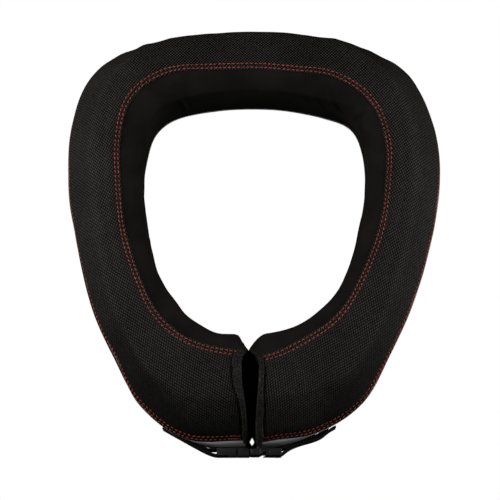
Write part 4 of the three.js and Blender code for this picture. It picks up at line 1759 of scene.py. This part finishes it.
class COLLAR_OT_socket(Operator):
    """Model the socket half of the buckle"""

    bl_idname = "collar.socket"
    bl_label = "Buckle socket"

    def execute(self, context):
        body = add_block("socket_half", (SOCKET_END, SOCKET_MOUTH), WHOLE_THICKNESS, WHOLE_HEIGHT)
        combine(body, add_plate("tongue", TONGUE, TONGUE_HALF), "UNION")
        bar_end = SOCKET_END + BAR_REACH
        window = add_block("window", (SOCKET_END - OVER, bar_end + SLOT_LENGTH), CUT_THROUGH, SLOT_HEIGHT)
        combine(body, window, "DIFFERENCE")
        pocket = add_block("pocket", POCKET, (-POCKET_HALF, POCKET_HALF), POCKET_HEIGHT)
        combine(body, pocket, "DIFFERENCE")
        for up in WHOLE_HEIGHT:
            groove = add_block("groove", GROOVE, CUT_THROUGH, (up - GROOVE_DEPTH, up + GROOVE_DEPTH))
            combine(body, groove, "DIFFERENCE")
        round_edges(body, FINE_ROUND)
        bar = add_block("bar", (SOCKET_END + BAR_INSET, bar_end), BAR_THICKNESS, BAR_HEIGHT)
        fuse(body, bar, FINE_ROUND)
        bpy.ops.object.shade_smooth_by_angle(angle=SMOOTH_ANGLE)
        dress(body, plastic_material(context.scene.collar_colours), "buckle_socket")
        return {"FINISHED"}


class COLLAR_OT_plug(Operator):
    """Model the plug half of the buckle with its guide and sprung arms"""

    bl_idname = "collar.plug"
    bl_label = "Buckle plug"

    def execute(self, context):
        body = add_block("plug_half", (PLUG_BASE, PLUG_END), WHOLE_THICKNESS, WHOLE_HEIGHT)
        bar_end = PLUG_END - BAR_REACH
        along = (bar_end - PLUG_SLOT_LENGTH, PLUG_END + OVER)
        window = add_block("window", along, CUT_THROUGH, SLOT_HEIGHT)
        combine(body, window, "DIFFERENCE")
        round_edges(body, BUCKLE_ROUND)
        bar = add_block("bar", (bar_end, PLUG_END - BAR_INSET), BAR_THICKNESS, BAR_HEIGHT)
        fuse(body, bar, FINE_ROUND)
        guide = add_block("guide", GUIDE, (-PLUG_HALF, PLUG_HALF), GUIDE_HEIGHT)
        fuse(body, guide, FINE_ROUND)
        for flip in (1, -1):
            for name, corners, half in (("arm", ARM, PLUG_HALF), ("pad", PAD, PAD_HALF)):
                drawn = [(x, up * flip) for x, up in corners]
                fuse(body, add_plate(name, drawn, half), PLATE_ROUND)
            height = sorted(up * flip for up in SHOULDER_HEIGHT)
            fuse(body, add_block("shoulder", SHOULDER, SHOULDER_THICKNESS, height), PLATE_ROUND)
        combine(body, add_slit(), "DIFFERENCE")
        bpy.ops.object.shade_smooth_by_angle(angle=SMOOTH_ANGLE)
        dress(body, plastic_material(context.scene.collar_colours), "buckle_plug")
        return {"FINISHED"}


# Stage: floor, lights and camera
FLOOR_HALF = 3.0
FLOOR_DROP = 0.2 * MM
FLOOR_BOUNCE = 0.16
FLOOR_CLEFT_SHADOW = 0.0022
CLEFT_REACH = 4 * MM
CLEFT_SAMPLES = 32
CLEFT_OPEN = (0.22, 0.42)
WHITE = (1.0, 1.0, 1.0, 1.0)
BLACK = (0.0, 0.0, 0.0, 1.0)
LIGHT_SIZE = (0.25, 0.5)
LIGHT_PLACES = {"left": (-0.5, 0.03, 0.34), "rear": (-0.45, 0.3, 0.31), "right": (0.5, 0.0, 0.22)}
LIGHT_TARGET = Vector((0.0, 0.0, 0.03))
SENSOR_WIDTH = 36.0
NEAR_CLIP = 0.01


def floor_material():
    """White floor that is bright to the camera, with painted shadow in clefts, and throws little light back
    up.
    """
    finish = Finish("pale_floor")
    tree = finish.tree
    seen = tree.nodes.new("ShaderNodeLightPath").outputs["Is Camera Ray"]
    cleft = tree.nodes.new("ShaderNodeAmbientOcclusion")
    cleft.samples = CLEFT_SAMPLES
    cleft.inputs["Distance"].default_value = CLEFT_REACH
    # Painted shadow: ambient occlusion dims the floor's glow to the camera in narrow clefts
    lit = spread(tree, cleft.outputs["AO"], *CLEFT_OPEN, FLOOR_CLEFT_SHADOW)
    base = finish.mix(seen, rgba(WHITE[:3], FLOOR_BOUNCE), BLACK)
    finish.set(base_color=base, roughness=0.9, specular_ior_level=0.0, emission_color=WHITE)
    return finish.set(emission_strength=finish.times(seen, lit))


def add_light(name, watts, location):
    """A soft box that faces the middle of the collar."""
    data = bpy.data.lights.new(name, "AREA")
    data.energy = watts
    data.shape = "RECTANGLE"
    data.size, data.size_y = LIGHT_SIZE
    light = bpy.data.objects.new(name, data)
    light.location = location
    light.rotation_euler = (LIGHT_TARGET - Vector(location)).to_track_quat("-Z", "Y").to_euler()
    bpy.context.scene.collection.objects.link(light)


class COLLAR_OT_stage(Operator):
    """Set the floor, the studio light and the camera"""

    bl_idname = "collar.stage"
    bl_label = "Stage"

    def execute(self, context):
        stage = context.scene.collar_stage
        deselect()
        bpy.ops.mesh.primitive_plane_add(size=2.0 * FLOOR_HALF, location=(0.0, 0.0, -FLOOR_DROP))
        floor = context.object
        floor.name = "stage_floor"
        bpy.ops.object.transform_apply(location=True)
        floor.data.materials.append(floor_material())

        world = bpy.data.worlds.new("studio")
        world.use_nodes = True
        background = world.node_tree.nodes["Background"]
        background.inputs["Color"].default_value = WHITE
        background.inputs["Strength"].default_value = stage.fill
        context.scene.world = world
        for name, place in LIGHT_PLACES.items():
            add_light(f"light_{name}", getattr(stage, name), place)

        target = Vector(stage.target)
        back = Vector((0.0, -math.cos(stage.elevation), math.sin(stage.elevation)))
        data = bpy.data.cameras.new("photo_camera")
        data.lens = stage.lens
        data.sensor_width = SENSOR_WIDTH
        data.clip_start = NEAR_CLIP
        camera = bpy.data.objects.new("photo_camera", data)
        camera.location = target + back * stage.distance
        camera.rotation_euler = (-back).to_track_quat("-Z", "Y").to_euler()
        context.scene.collection.objects.link(camera)
        context.scene.camera = camera
        context.scene.view_settings.view_transform = "Standard"
        return {"FINISHED"}


OPERATORS = (
    COLLAR_OT_stage,
    COLLAR_OT_cover,
    COLLAR_OT_lining,
    COLLAR_OT_base,
    COLLAR_OT_stitches,
    COLLAR_OT_caps,
    COLLAR_OT_straps,
    COLLAR_OT_socket,
    COLLAR_OT_plug,
)


class COLLAR_PT_panel(Panel):
    """Sizes, colours and building steps of the collar"""

    bl_idname = "COLLAR_PT_panel"
    bl_label = "Neck collar"
    bl_space_type = "VIEW_3D"
    bl_region_type = "UI"
    bl_category = "Collar"

    def draw(self, context):
        layout = self.layout
        scene = context.scene
        for settings in (scene.collar_sizes, scene.collar_colours, scene.collar_stage):
            box = layout.box()
            for name in settings.__annotations__:
                box.prop(settings, name)
        for operator in OPERATORS:
            layout.operator(operator.bl_idname)


CLASSES = (CollarSizes, CollarColours, CollarStage, *OPERATORS, COLLAR_PT_panel)


def register():
    for cls in CLASSES:
        bpy.utils.register_class(cls)
    bpy.types.Scene.collar_sizes = PointerProperty(type=CollarSizes)
    bpy.types.Scene.collar_colours = PointerProperty(type=CollarColours)
    bpy.types.Scene.collar_stage = PointerProperty(type=CollarStage)


def unregister():
    del bpy.types.Scene.collar_stage
    del bpy.types.Scene.collar_colours
    del bpy.types.Scene.collar_sizes
    for cls in reversed(CLASSES):
        bpy.utils.unregister_class(cls)


def main():
    register()
    for operator in OPERATORS:
        prefix, name = operator.bl_idname.split(".")
        getattr(getattr(bpy.ops, prefix), name)()


if __name__ == "__main__":
    main()
